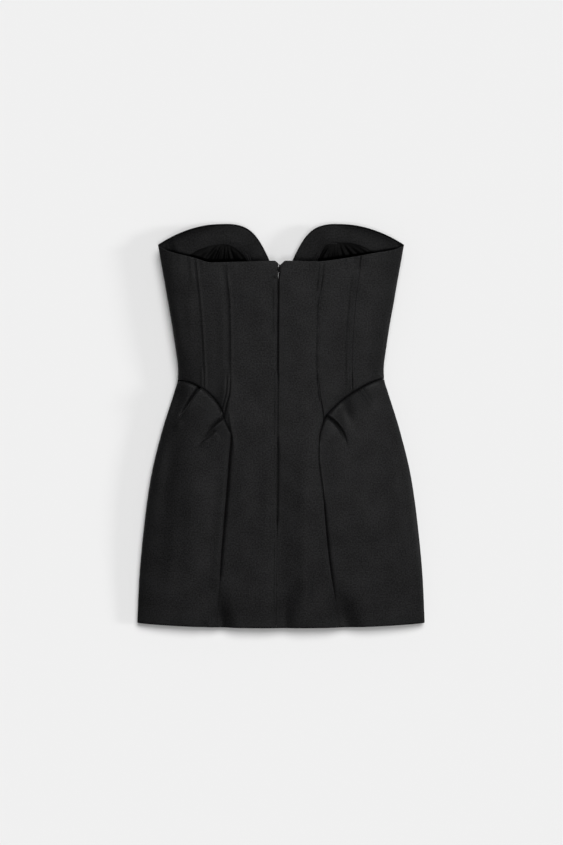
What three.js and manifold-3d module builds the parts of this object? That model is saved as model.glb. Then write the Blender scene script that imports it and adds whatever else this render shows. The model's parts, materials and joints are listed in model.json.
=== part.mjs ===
// A strapless mini dress that lies flat on its front, with its back up.
// The cloth is a set of thin walls, one for each cut panel, that all follow one lens-shaped tube: a flat front
// on the surface and an arched back over it, joined at the side seams.
// Lengths are millimetres. X runs across the dress, Y from the hem to the neckline, and Z up from the surface.
// Left and right are the wearer's, so left is at low X.
import * as THREE from "three";
import { mergeVertices } from "three/addons/utils/BufferGeometryUtils.js";
import Module from "manifold-3d";

const CLOTH = 1.6; // the outer cloth with its interlining
const FACING = 1.0;
const LINING = 0.8;
const SEAM_GAP = 0.3;
const LAYER_GAP = 0.7; // between the cloth and what lies on its inner side
const ARCH_POWER = 0.6; // 1 makes the back's section an ellipse, and less makes it fuller
const FRONT_ROLL = 30; // how far in from the side seam the front leaves the surface

// One row for each level. half is half the width laid flat. side, crown and rest are the heights above the
// surface of the side seam, of the middle of the back and of the middle of the front.
const LEVELS = [
  { y: 333, half: 209, side: 21, crown: 38, rest: 17 },
  { y: 297, half: 203, side: 21, crown: 39, rest: 18 },
  { y: 211, half: 187.5, side: 19, crown: 40, rest: 18 },
  { y: 132, half: 174.5, side: 17, crown: 40, rest: 12 },
  { y: 92, half: 170, side: 15, crown: 40, rest: 8 },
  { y: 77, half: 171.3, side: 14, crown: 40, rest: 6 },
  { y: 53, half: 177.8, side: 14, crown: 40.2, rest: 3 },
  { y: 33, half: 184.2, side: 14, crown: 40.5, rest: 0 },
  { y: -7, half: 196.5, side: 13, crown: 41, rest: 0 },
  { y: -86, half: 215.5, side: 12, crown: 39.5, rest: 0 },
  { y: -165, half: 226.5, side: 11, crown: 35.5, rest: 0 },
  { y: -250, half: 234.5, side: 10, crown: 29, rest: 0 },
  { y: -333, half: 238.5, side: 9, crown: 22, rest: 0 },
];

// Where the back's seams lie at each level. The centre-back panels run on below the bodice.
const BACK_SEAMS = [
  { y: 300, sideLeft: -141, princessLeft: -92, centre: -4, princessRight: 73, sideRight: 134 },
  { y: 270, sideLeft: -139, princessLeft: -90, centre: -4, princessRight: 72, sideRight: 131 },
  { y: 190, sideLeft: -131, princessLeft: -83, centre: -4.5, princessRight: 64, sideRight: 121 },
  { y: 110, sideLeft: -126, princessLeft: -82, centre: -5, princessRight: 62, sideRight: 117 },
  { y: 60, sideLeft: -125, princessLeft: -84, centre: -5, princessRight: 64, sideRight: 117 },
  { y: 15, sideLeft: -125, princessLeft: -93, centre: -5, princessRight: 70, sideRight: 119 },
  { y: -19, sideLeft: -125, princessLeft: -81, centre: -5.5, princessRight: 62.5, sideRight: 119 },
  { y: -45, sideLeft: -125, princessLeft: -83.5, centre: -5.5, princessRight: 62, sideRight: 119 },
  { y: -100, sideLeft: -125, princessLeft: -87.5, centre: -6, princessRight: 68, sideRight: 119 },
  { y: -214, sideLeft: -125, princessLeft: -97.5, centre: -7, princessRight: 79, sideRight: 119 },
  { y: -333, sideLeft: -125, princessLeft: -106, centre: -8, princessRight: 97, sideRight: 119 },
];

const FRONT_SEAMS = [
  { y: 333, princess: 92 },
  { y: 240, princess: 92 },
  { y: 150, princess: 79 },
  { y: 77, princess: 72 },
  { y: 12, princess: 79 },
  { y: -30, princess: 73 },
  { y: -333, princess: 105 },
];

// The curved hip seams: from the side seam at sideY to the princess seam at joinY, as
// (1 - across^power)^(1/root) of that drop.
const BACK_ARC_LEFT = { sign: -1, sideY: 76, joinY: 15, power: 1.8, root: 1.5 };
const BACK_ARC_RIGHT = { sign: 1, sideY: 79, joinY: 9, power: 1.4, root: 1.25 };
const FRONT_ARC = { sideY: 77, joinY: 12, power: 1.6, root: 1.4 };

// The back's top edge, from side seam to side seam.
const BACK_NECK = [
  { x: -206, y: 299 },
  { x: -188, y: 288.5 },
  { x: -142, y: 276 },
  { x: -115, y: 268.5 },
  { x: -60, y: 269.5 },
  { x: 0, y: 271 },
  { x: 60, y: 270 },
  { x: 96, y: 274 },
  { x: 154, y: 284 },
  { x: 188, y: 290.5 },
  { x: 206, y: 299 },
];
const NOTCH = { half: 11, depth: 8.5 }; // where the two halves turn down to the zip

// The front's top edge, the same on both sides: the crest of the cup, the corner at the side seam and the V.
const CREST = { x: 92, y: 333 };
const CORNER = { x: 203.5, y: 298 };
const V_MOUTH = { x: 19, y: 273 };
const V_FOOT = { y: 240 };

const HEM = { y: -333, rise: 8, half: 238.5, power: 2.6 };
const FRONT_HEM_LIFT = 3; // how much shorter the front is, so that the back hides it

const CUP = { x: 95, y: 214, acrossReach: 84, upReach: 98, depth: 17.6 };

// The lower edge of the facing, the same on both sides: deep at the middle, and arched over the cup.
const FACING_EDGE = [
  { x: 0, y: 214 },
  { x: 40, y: 226 },
  { x: 54, y: 262 },
  { x: 64, y: 284 },
  { x: 78, y: 297 },
  { x: 98, y: 300 },
  { x: 128, y: 296 },
  { x: 152, y: 285 },
  { x: 176, y: 275 },
  { x: 206, y: 268 },
];
const FACING_COLUMNS = [0, 5, 12, 21, 33, 48, 66, 84, 98, 115, 132, 150, 166, 180];
const FACING_IN = 14; // how far in from the side seam the facing stops
const LINING_FOOT_Y = 196;
const LINING_OVERLAP = 5; // how far the lining runs up under the facing

// Soft ridges and troughs of the back, each along a line from (x0, y0) to (x1, y1).
const FOLDS = [
  { x0: -88, y0: -262, x1: -70, y1: -350, rise: -5, reach: 15 },
  { x0: 98, y0: -250, x1: 122, y1: -350, rise: -5, reach: 14 },
  { x0: 22, y0: -255, x1: 17, y1: -345, rise: -2.5, reach: 14 },
  { x0: -17, y0: -20, x1: -20, y1: -270, rise: 2.8, reach: 13 },
  { x0: 3, y0: -20, x1: 3, y1: -290, rise: -1.5, reach: 8 },
  { x0: 42, y0: 0, x1: 40, y1: -240, rise: 2, reach: 16 },
  { x0: 97, y0: 5, x1: 114, y1: -130, rise: 3, reach: 14 },
  { x0: 135, y0: -60, x1: 160, y1: -290, rise: 2, reach: 28 },
  { x0: 172, y0: 0, x1: 209, y1: -230, rise: -3, reach: 13 },
  { x0: -176, y0: 5, x1: -198, y1: -160, rise: -2.5, reach: 14 },
  { x0: -140, y0: -20, x1: -152, y1: -260, rise: 2.5, reach: 22 },
  { x0: -103, y0: -60, x1: -120, y1: -270, rise: -1.2, reach: 11 },
  { x0: -178, y0: 262, x1: -164, y1: 150, rise: -2, reach: 14 },
  { x0: 193, y0: 290, x1: 181, y1: 215, rise: -2, reach: 11 },
];
const FOLD_FADE = 0.38; // how much of its line's length a fold takes to fade along it

// The stitched tucks of the hip panels. Each starts on the hip seam at (x0, y0) and dies out at (x1, y1). The
// cloth on the tuck's left-hand side, looking along it, stands higher.
const TUCKS = [
  { x0: -134, y0: 59, x1: -170, y1: 4, height: 5 },
  { x0: -94, y0: 14, x1: -134, y1: -32, height: 5 },
  { x0: 121, y0: 57, x1: 150, y1: 5, height: 4.5 },
  { x0: 78, y0: 17, x1: 110, y1: -32, height: 5 },
];
const TUCK_STEP = 2.6; // half the width of the step at the folded edge
const TUCK_SPREAD = 26; // how far the raised side runs out
const TUCK_HOLLOW = { share: 0.45, reach: 8 }; // the trough beside the folded edge

// How deep each kind of seam lies in the cloth, and how far the cloth takes to rise from it.
const SEAM = { sink: 0.8, reach: 6 };
const HIP_SEAM = { sink: 2.2, reach: 9 };
const SKIRT_SEAM = { sink: 3.6, reach: 9 };
const FLAT = { sink: 0, reach: 1 };

const ZIP = {
  topY: 261.5, footY: -150, tapeHalf: 12, tape: 0.7, coilHalf: 2.2, coil: 1.9,
  slitTopY: 252, slitFootY: 240, slit: 1.7, behind: 0.75,
};
const SLIDER = { y: 256.5, length: 9, width: 5.4, thick: 2 };
const BRIDGE = { length: 4.6, bar: 0.9, width: 1.0, clear: 2.0 };
const TAB = {
  length: 15.5, width: 4.9, eyeWidth: 4.4, thick: 0.9, bar: 0.9, hole: 3.4, holeWidth: 2.6, lean: 25, shift: 0.35,
};

// A smooth curve through a table's rows: cubic pieces that never overshoot a row.
function through(rows, at, column) {
  const table = [...rows].sort((a, b) => a[at] - b[at]);
  const chord = table.slice(1).map((row, i) => (row[column] - table[i][column]) / (row[at] - table[i][at]));
  const slope = table.map((row, i) => {
    if (i === 0) return chord[0];
    if (i === chord.length) return chord[i - 1];
    return chord[i - 1] * chord[i] <= 0 ? 0 : (2 * chord[i - 1] * chord[i]) / (chord[i - 1] + chord[i]);
  });
  return (value) => {
    const last = table.length - 1;
    const v = THREE.MathUtils.clamp(value, table[0][at], table[last][at]);
    const i = Math.min(last - 1, Math.max(0, table.findIndex((row) => row[at] > v) - 1));
    const a = table[i];
    const b = table[i + 1];
    const span = b[at] - a[at];
    const t = v >= b[at] ? 1 : (v - a[at]) / span;
    return (
      a[column] * (2 * t ** 3 - 3 * t ** 2 + 1) + slope[i] * span * (t ** 3 - 2 * t ** 2 + t) +
      b[column] * (3 * t ** 2 - 2 * t ** 3) + slope[i + 1] * span * (t ** 3 - t ** 2)
    );
  };
}

const halfAt = through(LEVELS, "y", "half");
const sideAt = through(LEVELS, "y", "side");
const crownAt = through(LEVELS, "y", "crown");
const restAt = through(LEVELS, "y", "rest");

// u is the place round the tube from -1, the left side seam, to 1, the right one.
const acrossAt = (x, y) => (Math.asin(THREE.MathUtils.clamp(x / halfAt(y), -1, 1)) * 2) / Math.PI;

// The tube's own shape, before folds: the section's point and its outward direction.
function backSection(u, y) {
  const turn = (u * Math.PI) / 2;
  const cos = Math.max(Math.cos(turn), 1e-9);
  const rise = crownAt(y) - sideAt(y);
  const dx = halfAt(y) * cos;
  const dz = -rise * ARCH_POWER * cos ** (ARCH_POWER - 1) * Math.sin(turn);
  const size = Math.hypot(dx, dz);
  return {
    x: halfAt(y) * Math.sin(turn), z: sideAt(y) + rise * cos ** ARCH_POWER,
    nx: -dz / size, nz: dx / size, flat: cos,
  };
}

function frontSection(u, y) {
  const turn = (u * Math.PI) / 2;
  const half = halfAt(y);
  const x = half * Math.sin(turn);
  const rise = sideAt(y) - restAt(y);
  const into = THREE.MathUtils.clamp((Math.abs(x) - half + FRONT_ROLL) / FRONT_ROLL, 0, 1);
  const level = Math.sqrt(Math.max(1 - into * into, 0));
  const slope = level > 1e-6 ? (rise * into) / (FRONT_ROLL * level) : 1e6;
  const size = Math.hypot(1, slope);
  return {
    x, z: restAt(y) + rise * (1 - level),
    nx: (Math.sign(x) * slope) / size, nz: -1 / size, flat: Math.cos(turn),
  };
}

// The share of the way along a line, and the distance to its left-hand side.
function toLine(line, x, y) {
  const dx = line.x1 - line.x0;
  const dy = line.y1 - line.y0;
  const length = Math.hypot(dx, dy);
  return {
    along: ((x - line.x0) * dx + (y - line.y0) * dy) / length ** 2,
    left: ((y - line.y0) * dx - (x - line.x0) * dy) / length,
  };
}

// A tuck's height: a step at its folded edge that runs out on the high side, with a trough on the low side.
function tuckRise(tuck, x, y) {
  const { along, left } = toLine(tuck, x, y);
  const held = Math.sqrt(THREE.MathUtils.clamp(1 - along, 0, 1));
  const start = THREE.MathUtils.smoothstep(along, -0.25, -0.05);
  const step = THREE.MathUtils.smoothstep(left, -TUCK_STEP, TUCK_STEP);
  const raised = step * Math.exp(-Math.max(left, 0) / TUCK_SPREAD);
  const hollow = (1 - step) * TUCK_HOLLOW.share * Math.exp(Math.min(left, 0) / TUCK_HOLLOW.reach);
  return tuck.height * held * start * (raised - hollow);
}

function foldRise(x, y) {
  let sum = 0;
  for (const fold of FOLDS) {
    const { along, left } = toLine(fold, x, y);
    sum += fold.rise * Math.exp(-((left / fold.reach) ** 2) - ((along - 0.5) / FOLD_FADE) ** 2);
  }
  return sum;
}

// How far the cup stands out of the front, as a rounded bump under each side.
function cupRise(x, y) {
  const far = ((Math.abs(x) - CUP.x) / CUP.acrossReach) ** 2 + ((y - CUP.y) / CUP.upReach) ** 2;
  return far < 1 ? CUP.depth * (1 - far) ** 2 : 0;
}

// The point of a layer of the dress. out is its distance outside the outer cloth's own face, below 0 inside.
function backPoint(u, y, out, tucked) {
  const s = backSection(u, y);
  const kept = Math.min(1, s.flat * 1.8);
  const tucks = tucked ? TUCKS.reduce((sum, tuck) => sum + tuckRise(tuck, s.x, y), 0) : 0;
  const rise = kept * (foldRise(s.x, y) + tucks) + out;
  return new THREE.Vector3(s.x + s.nx * rise, y, s.z + s.nz * rise);
}

// The front never sinks into the surface that the dress lies on, so its cups are flattened there.
function frontPoint(u, y, out) {
  const s = frontSection(u, y);
  const rise = Math.min(cupRise(s.x, y), s.z) + out;
  return new THREE.Vector3(s.x + s.nx * rise, y, s.z + s.nz * rise);
}

// The edges of the panels, as x at each y or y at each x.
const seamX = (name) => through(BACK_SEAMS, "y", name);
const slitAt = (y) => (ZIP.slit / 2) * THREE.MathUtils.smoothstep(y, ZIP.slitFootY, ZIP.slitTopY);
const centreX = seamX("centre");
const frontSeamX = through(FRONT_SEAMS, "y", "princess");
const backNeckRow = through(BACK_NECK, "x", "y");

function backNeckY(x) {
  const near = Math.max(0, 1 - Math.abs(x - centreX(270)) / NOTCH.half);
  return backNeckRow(x) - NOTCH.depth * near;
}

const hemY = (x) => HEM.y + HEM.rise * Math.min(1, Math.abs(x) / HEM.half) ** HEM.power;
const frontHemY = (x) => hemY(x) + FRONT_HEM_LIFT;

// The inner edge of the cup, from its crest into the V, as y at each x.
const CUP_EDGE = new THREE.CurvePath();
CUP_EDGE.add(new THREE.CubicBezierCurve(
  new THREE.Vector2(0, V_FOOT.y), new THREE.Vector2(7, V_FOOT.y),
  new THREE.Vector2(12, 258), new THREE.Vector2(V_MOUTH.x, V_MOUTH.y)));
CUP_EDGE.add(new THREE.CubicBezierCurve(
  new THREE.Vector2(V_MOUTH.x, V_MOUTH.y), new THREE.Vector2(38, 314),
  new THREE.Vector2(50, 334), new THREE.Vector2(CREST.x, CREST.y)));
const CUP_EDGE_POINTS = CUP_EDGE.getPoints(24);

function neckY(x) {
  const from = Math.abs(x);
  if (from >= CREST.x) {
    return CREST.y - (CREST.y - CORNER.y) * ((from - CREST.x) / (CORNER.x - CREST.x)) ** 2;
  }
  const i = Math.max(1, CUP_EDGE_POINTS.findIndex((p) => p.x > from));
  const a = CUP_EDGE_POINTS[i - 1];
  const b = CUP_EDGE_POINTS[i];
  return a.y + ((b.y - a.y) * (from - a.x)) / (b.x - a.x);
}

// y of a curved hip seam over x, with the princess seam that it ends on.
function hipArc(arc, sign, princess) {
  const sideX = halfAt(arc.sideY);
  const joinX = Math.abs(princess(arc.joinY));
  return (x) => {
    const across = THREE.MathUtils.clamp((sideX - x * sign) / (sideX - joinX), 0, 1);
    return arc.joinY + (arc.sideY - arc.joinY) * (1 - across ** arc.power) ** (1 / arc.root);
  };
}

// Shares from 0 to 1, closer together at the end for a bias over 1 and at the start for one below it.
const shares = (count, bias = 1) =>
  Array.from({ length: count + 1 }, (_, i) => 1 - (1 - i / count) ** bias);

// Solves y = edge(x) along one of a patch's columns.
function meet(edge, xAt, low, high) {
  let below = low;
  let above = high;
  for (let i = 0; i < 40; i++) {
    const middle = (below + above) / 2;
    if (edge(xAt(middle)) > middle) below = middle;
    else above = middle;
  }
  return (below + above) / 2;
}

// One of a patch's columns, at a share s of the way across: u at each y, and the y of its two ends.
function columnOf(p, s) {
  const uAt = (y) => p.left(y) + (p.right(y) - p.left(y)) * s;
  const xAt = (y) => halfAt(y) * Math.sin((uAt(y) * Math.PI) / 2);
  const low = meet(p.bottom, xAt, p.range[0], p.range[1]);
  const high = meet(p.top, xAt, p.range[0], p.range[1]);
  return { uAt, xAt, low, high, rows: p.along ? p.along.map((t) => low + (high - low) * t) : [] };
}

// Shares across a patch that meet the columns of the patches above it.
const acrossUnder = (p, above) => above.flatMap((one, k) => one.across.slice(k ? 1 : 0).map((s) => {
  const { uAt, low } = columnOf(one, s);
  return (uAt(low) - p.left(low)) / (p.right(low) - p.left(low));
}));

// Shares along a patch that meet the rows of the two patches beside it, given from the lower one up.
function alongBeside(p, s, beside) {
  const { low, high } = columnOf(p, s);
  const rows = beside.flatMap(({ patch, edge }, k) => columnOf(patch, edge).rows.slice(k ? 1 : 0));
  return rows.map((y) => THREE.MathUtils.clamp((y - low) / (high - low), 0, 1));
}

// A panel of cloth: a closed wall over a four-sided patch of the tube.
// left and right give u at each y, and top and bottom give y at each x. sinks says how each edge dips.
// outer and inner are the wall's two faces, as distances outside the outer cloth's own face.
function panel(p) {
  const columns = p.across.map((s) => columnOf(p, s));
  const first = columns[0];
  const last = columns[columns.length - 1];
  const dip = (edge, y, far) => (edge.at ? edge.at(y) : edge.sink) * Math.exp(-far / edge.reach);
  const face = (level) => columns.map((column) => column.rows.map((y, j) => {
    const x = column.xAt(y);
    const sunk = !p.sinks ? 0 :
      dip(p.sinks.left, y, x - first.xAt(y)) + dip(p.sinks.right, y, last.xAt(y) - x) +
      dip(p.sinks.top, y, column.high - y) + dip(p.sinks.bottom, y, y - column.low);
    return p.point(column.uAt(y), y, level(x, y, p.along[j]) - sunk);
  }));
  return closedWall(drawIn(face(p.outer)), drawIn(face(p.inner)), p.facesDown);
}

// Moves the border of a grid of points inwards by half a seam's gap.
function drawIn(grid) {
  const wide = grid.length - 1;
  const tall = grid[0].length - 1;
  const step = (point, next) => {
    const way = next.clone().sub(point);
    return way.multiplyScalar(Math.min(0.4, SEAM_GAP / 2 / way.length()));
  };
  return grid.map((column, i) => column.map((point, j) => {
    const moved = point.clone();
    if (i === 0) moved.add(step(point, grid[1][j]));
    if (i === wide) moved.add(step(point, grid[wide - 1][j]));
    if (j === 0) moved.add(step(point, grid[i][1]));
    if (j === tall) moved.add(step(point, grid[i][tall - 1]));
    return moved;
  }));
}

// Joins two grids of points into one closed body with a rim round their borders.
function closedWall(outer, inner, facesDown) {
  const wide = outer.length;
  const tall = outer[0].length;
  const positions = [...outer, ...inner].flatMap((column) => column.flatMap((p) => p.toArray()));
  const at = (layer, i, j) => (layer * wide + i) * tall + j;
  const faces = [];
  const quad = (a, b, c, d) => faces.push(...(facesDown ? [a, c, b, a, d, c] : [a, b, c, a, c, d]));
  for (let i = 0; i < wide - 1; i++) {
    for (let j = 0; j < tall - 1; j++) {
      quad(at(0, i, j), at(0, i + 1, j), at(0, i + 1, j + 1), at(0, i, j + 1));
      quad(at(1, i, j), at(1, i, j + 1), at(1, i + 1, j + 1), at(1, i + 1, j));
    }
    quad(at(0, i, 0), at(1, i, 0), at(1, i + 1, 0), at(0, i + 1, 0));
    quad(at(0, i + 1, tall - 1), at(1, i + 1, tall - 1), at(1, i, tall - 1), at(0, i, tall - 1));
  }
  for (let j = 0; j < tall - 1; j++) {
    quad(at(0, 0, j + 1), at(1, 0, j + 1), at(1, 0, j), at(0, 0, j));
    quad(at(0, wide - 1, j), at(1, wide - 1, j), at(1, wide - 1, j + 1), at(0, wide - 1, j + 1));
  }
  const geometry = new THREE.BufferGeometry();
  geometry.setAttribute("position", new THREE.Float32BufferAttribute(positions, 3));
  geometry.setIndex(faces);
  geometry.computeVertexNormals();
  return geometry;
}

const materials = {
  cloth: new THREE.MeshStandardMaterial({ name: "cloth", color: 0x1f1f20, roughness: 0.75, metalness: 0 }),
  facing: new THREE.MeshStandardMaterial({ name: "facing", color: 0x1d1d1e, roughness: 0.8, metalness: 0 }),
  lining: new THREE.MeshStandardMaterial({ name: "lining", color: 0x0b0b0c, roughness: 0.5, metalness: 0 }),
  tape: new THREE.MeshStandardMaterial({ name: "tape", color: 0x121212, roughness: 0.8, metalness: 0 }),
  metal: new THREE.MeshStandardMaterial({ name: "metal", color: 0x3a3a3c, roughness: 0.3, metalness: 1 }),
};

const dress = new THREE.Group();
dress.name = "strapless_mini_dress";

function add(name, geometry, material, parent = dress) {
  const mesh = new THREE.Mesh(geometry, material.clone());
  mesh.name = name;
  parent.add(mesh);
  return mesh;
}

// A body on the right, or its mirror image on the left.
function mirrored(geometry, sign) {
  if (sign > 0) return geometry;
  geometry.scale(-1, 1, 1);
  const index = geometry.index;
  for (let i = 0; i < index.count; i += 3) {
    const second = index.getX(i + 1);
    index.setX(i + 1, index.getX(i + 2));
    index.setX(i + 2, second);
  }
  geometry.computeVertexNormals();
  return geometry;
}

const outerFace = () => 0;
const innerFace = () => -CLOTH;
const line = (xAt) => (y) => acrossAt(xAt(y), y);
const plainBack = (u, y, out) => backPoint(u, y, out, false);
const tuckedBack = (u, y, out) => backPoint(u, y, out, true);

const backArcLeft = hipArc(BACK_ARC_LEFT, -1, seamX("princessLeft"));
const backArcRight = hipArc(BACK_ARC_RIGHT, 1, seamX("princessRight"));
const WHOLE = [-345, 345];
const BODICE = [-5, 345];
const ABOVE_WAIST = [0, 345];
const HIPS = [-345, 110];

const CENTRE_COLUMNS = [0, 0.06, 0.14, 0.27, 0.42, 0.58, 0.73, 0.86, 0.94, 1];

// The two halves of the back mirror each other in build, but each has its own seam lines and tucks.
function backHalf(side, sign) {
  const name = side[0].toUpperCase() + side.slice(1);
  const arc = sign < 0 ? backArcLeft : backArcRight;
  const joinY = (sign < 0 ? BACK_ARC_LEFT : BACK_ARC_RIGHT).joinY;
  const princess = line(seamX("princess" + name));
  const sideSeam = line(seamX("side" + name));
  const centre = line((y) => centreX(y) + sign * slitAt(y));
  const between = (inner, outer) => (sign < 0 ? { left: outer, right: inner } : { left: inner, right: outer });
  const towards = (count, bias) => shares(count, sign < 0 ? bias : 1 / bias);
  const base = { point: plainBack, outer: outerFace, inner: innerFace, facesDown: false };
  const edges = (inner, outer, top, bottom) => ({ ...between(inner, outer), top, bottom });
  const bodice = { ...base, top: backNeckY, bottom: arc, range: BODICE, along: shares(15) };
  const backSide = {
    ...bodice, ...between(princess, sideSeam), across: towards(9, 1.5), sinks: edges(SEAM, SEAM, FLAT, SEAM),
  };
  const sidePanel = {
    ...bodice, ...between(sideSeam, () => sign), across: shares(8), sinks: edges(SEAM, FLAT, FLAT, SEAM),
  };
  const hip = {
    ...base, ...between(princess, () => sign), point: tuckedBack, top: arc, bottom: hemY, range: HIPS,
    along: shares(24, 1.9), sinks: edges(SKIRT_SEAM, FLAT, HIP_SEAM, FLAT),
  };
  hip.across = acrossUnder(hip, sign < 0 ? [sidePanel, backSide] : [backSide, sidePanel]);
  const deepens = (y) => THREE.MathUtils.lerp(SKIRT_SEAM.sink, SEAM.sink,
    THREE.MathUtils.smoothstep(y, joinY - 25, joinY + 5));
  const middle = {
    ...base, ...between(centre, princess), top: backNeckY, bottom: hemY, range: WHOLE,
    across: CENTRE_COLUMNS, sinks: edges(SEAM, { at: deepens, reach: SKIRT_SEAM.reach }, FLAT, FLAT),
  };
  const near = sign < 0 ? 1 : 0;
  middle.along = alongBeside(middle, 1 - near, [{ patch: hip, edge: near }, { patch: backSide, edge: near }]);
  add("back_centre_" + side, panel(middle), materials.cloth);
  add("back_side_" + side, panel(backSide), materials.cloth);
  add("side_" + side, panel(sidePanel), materials.cloth);
  add("back_hip_" + side, panel(hip), materials.cloth);
}

function frontPanels() {
  const base = { point: frontPoint, outer: outerFace, inner: innerFace, facesDown: true };
  const near = line(frontSeamX);
  const bodice = {
    ...base, left: near, right: () => 1, top: neckY, bottom: hipArc(FRONT_ARC, 1, frontSeamX), range: ABOVE_WAIST,
    across: shares(10, 0.7), along: shares(18),
  };
  const hip = {
    ...base, left: near, right: () => 1, top: bodice.bottom, bottom: frontHemY, range: HIPS, along: shares(10),
  };
  hip.across = acrossUnder(hip, [bodice]);
  const half = [0, 0.05, 0.12, 0.21, 0.32, 0.45, 0.58, 0.72, 0.86, 1].map((s) => 0.5 + s / 2);
  const middle = {
    ...base, left: line((y) => -frontSeamX(y)), right: near, top: neckY, bottom: frontHemY, range: WHOLE,
    across: [...half.slice(1).reverse().map((s) => 1 - s), ...half],
  };
  middle.along = alongBeside(middle, 1, [{ patch: hip, edge: 0 }, { patch: bodice, edge: 0 }]);
  add("front_centre", panel(middle), materials.cloth);
  for (const [side, sign] of [["left", -1], ["right", 1]]) {
    add("front_side_" + side, mirrored(panel(bodice), sign), materials.cloth);
    add("front_hip_" + side, mirrored(panel(hip), sign), materials.cloth);
  }
}

// The facings lie on the front's inner side, and come to lie over the linings further down.
function facingsAndLinings() {
  const facingEdge = through(FACING_EDGE, "x", "y");
  const onCloth = -(CLOTH + LAYER_GAP);
  const onLining = onCloth - LINING - LAYER_GAP;
  const facingOut = (x, y, t) => onCloth + (onLining - onCloth) * Math.min(1, (1 - t) * 1.6);
  const facing = {
    point: frontPoint, facesDown: true, left: line(() => 0), right: line((y) => halfAt(y) - FACING_IN),
    top: (x) => neckY(x) - 1, bottom: facingEdge, range: [180, 345], along: shares(4),
    outer: facingOut, inner: (x, y, t) => facingOut(x, y, t) - FACING,
  };
  facing.across = FACING_COLUMNS.map((x) => acrossAt(x, 290) / facing.right(290));
  const lining = {
    point: frontPoint, facesDown: true, left: line(() => 42), right: line(() => 170),
    top: (x) => facingEdge(x) + LINING_OVERLAP, bottom: () => LINING_FOOT_Y, range: [150, 345],
    across: shares(12), along: shares(8), outer: () => onCloth, inner: () => onCloth - LINING,
  };
  for (const [side, sign] of [["left", -1], ["right", 1]]) {
    add("facing_" + side, mirrored(panel(facing), sign), materials.facing);
    add("lining_" + side, mirrored(panel(lining), sign), materials.lining);
  }
}

const wasm = await Module();
wasm.setup();

function solidOf(geometry) {
  const bare = geometry.index ? geometry.toNonIndexed() : geometry.clone();
  bare.deleteAttribute("normal");
  bare.deleteAttribute("uv");
  const merged = mergeVertices(bare, 1e-4);
  return new wasm.Manifold(new wasm.Mesh({
    numProp: 3, vertProperties: merged.attributes.position.array, triVerts: new Uint32Array(merged.index.array),
  }));
}

function geometryOf(solid) {
  const mesh = solid.getMesh();
  const geometry = new THREE.BufferGeometry();
  geometry.setAttribute("position", new THREE.BufferAttribute(mesh.vertProperties, 3));
  geometry.setIndex(new THREE.BufferAttribute(mesh.triVerts, 1));
  geometry.computeVertexNormals();
  return geometry;
}

// A flat outline in the XY plane with round corners.
function roundedBox(width, length, corner) {
  const x = width / 2;
  const y = length / 2;
  const shape = new THREE.Shape();
  shape.moveTo(-x + corner, -y);
  shape.lineTo(x - corner, -y).absarc(x - corner, -y + corner, corner, -Math.PI / 2, 0, false);
  shape.lineTo(x, y - corner).absarc(x - corner, y - corner, corner, 0, Math.PI / 2, false);
  shape.lineTo(-x + corner, y).absarc(-x + corner, y - corner, corner, Math.PI / 2, Math.PI, false);
  shape.lineTo(-x, -y + corner).absarc(-x + corner, -y + corner, corner, Math.PI, Math.PI * 1.5, false);
  return shape;
}

// Where the slider sits: the middle of the slit, at the height of the cloth's face. The tab turns about pivotZ.
const sliderX = centreX(SLIDER.y);
const clothZ = backPoint(acrossAt(sliderX, SLIDER.y), SLIDER.y, 0, false).z;
const pivotZ = clothZ + TAB.bar / 2 + 0.9;

// The tape lies flat behind the centre-back seam, with the coil as a ridge on its inner side and a hole where
// the slider's bridge comes through.
function zipTape() {
  const off = (x, y) => Math.abs(x - centreX(y));
  const outer = (x, y) => -(CLOTH + ZIP.behind) - SEAM.sink * Math.exp(-off(x, y) / SEAM.reach);
  const coil = ZIP.coilHalf / ZIP.tapeHalf / 2;
  const tape = panel({
    point: plainBack, facesDown: false, left: line((y) => centreX(y) - ZIP.tapeHalf),
    right: line((y) => centreX(y) + ZIP.tapeHalf), top: () => ZIP.topY, bottom: () => ZIP.footY, range: WHOLE,
    across: [0, 0.29, 0.48 - coil, 0.51 - coil, 0.5, 0.49 + coil, 0.52 + coil, 0.71, 1],
    along: shares(20), outer,
    inner: (x, y) => outer(x, y) - (off(x, y) < ZIP.coilHalf ? ZIP.coil : ZIP.tape),
  });
  const hole = new THREE.BoxGeometry(ZIP.slit, BRIDGE.length + 1, 20).translate(sliderX, SLIDER.y, clothZ);
  add("zip_tape", geometryOf(solidOf(tape).subtract(solidOf(hole))), materials.tape);
}

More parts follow.
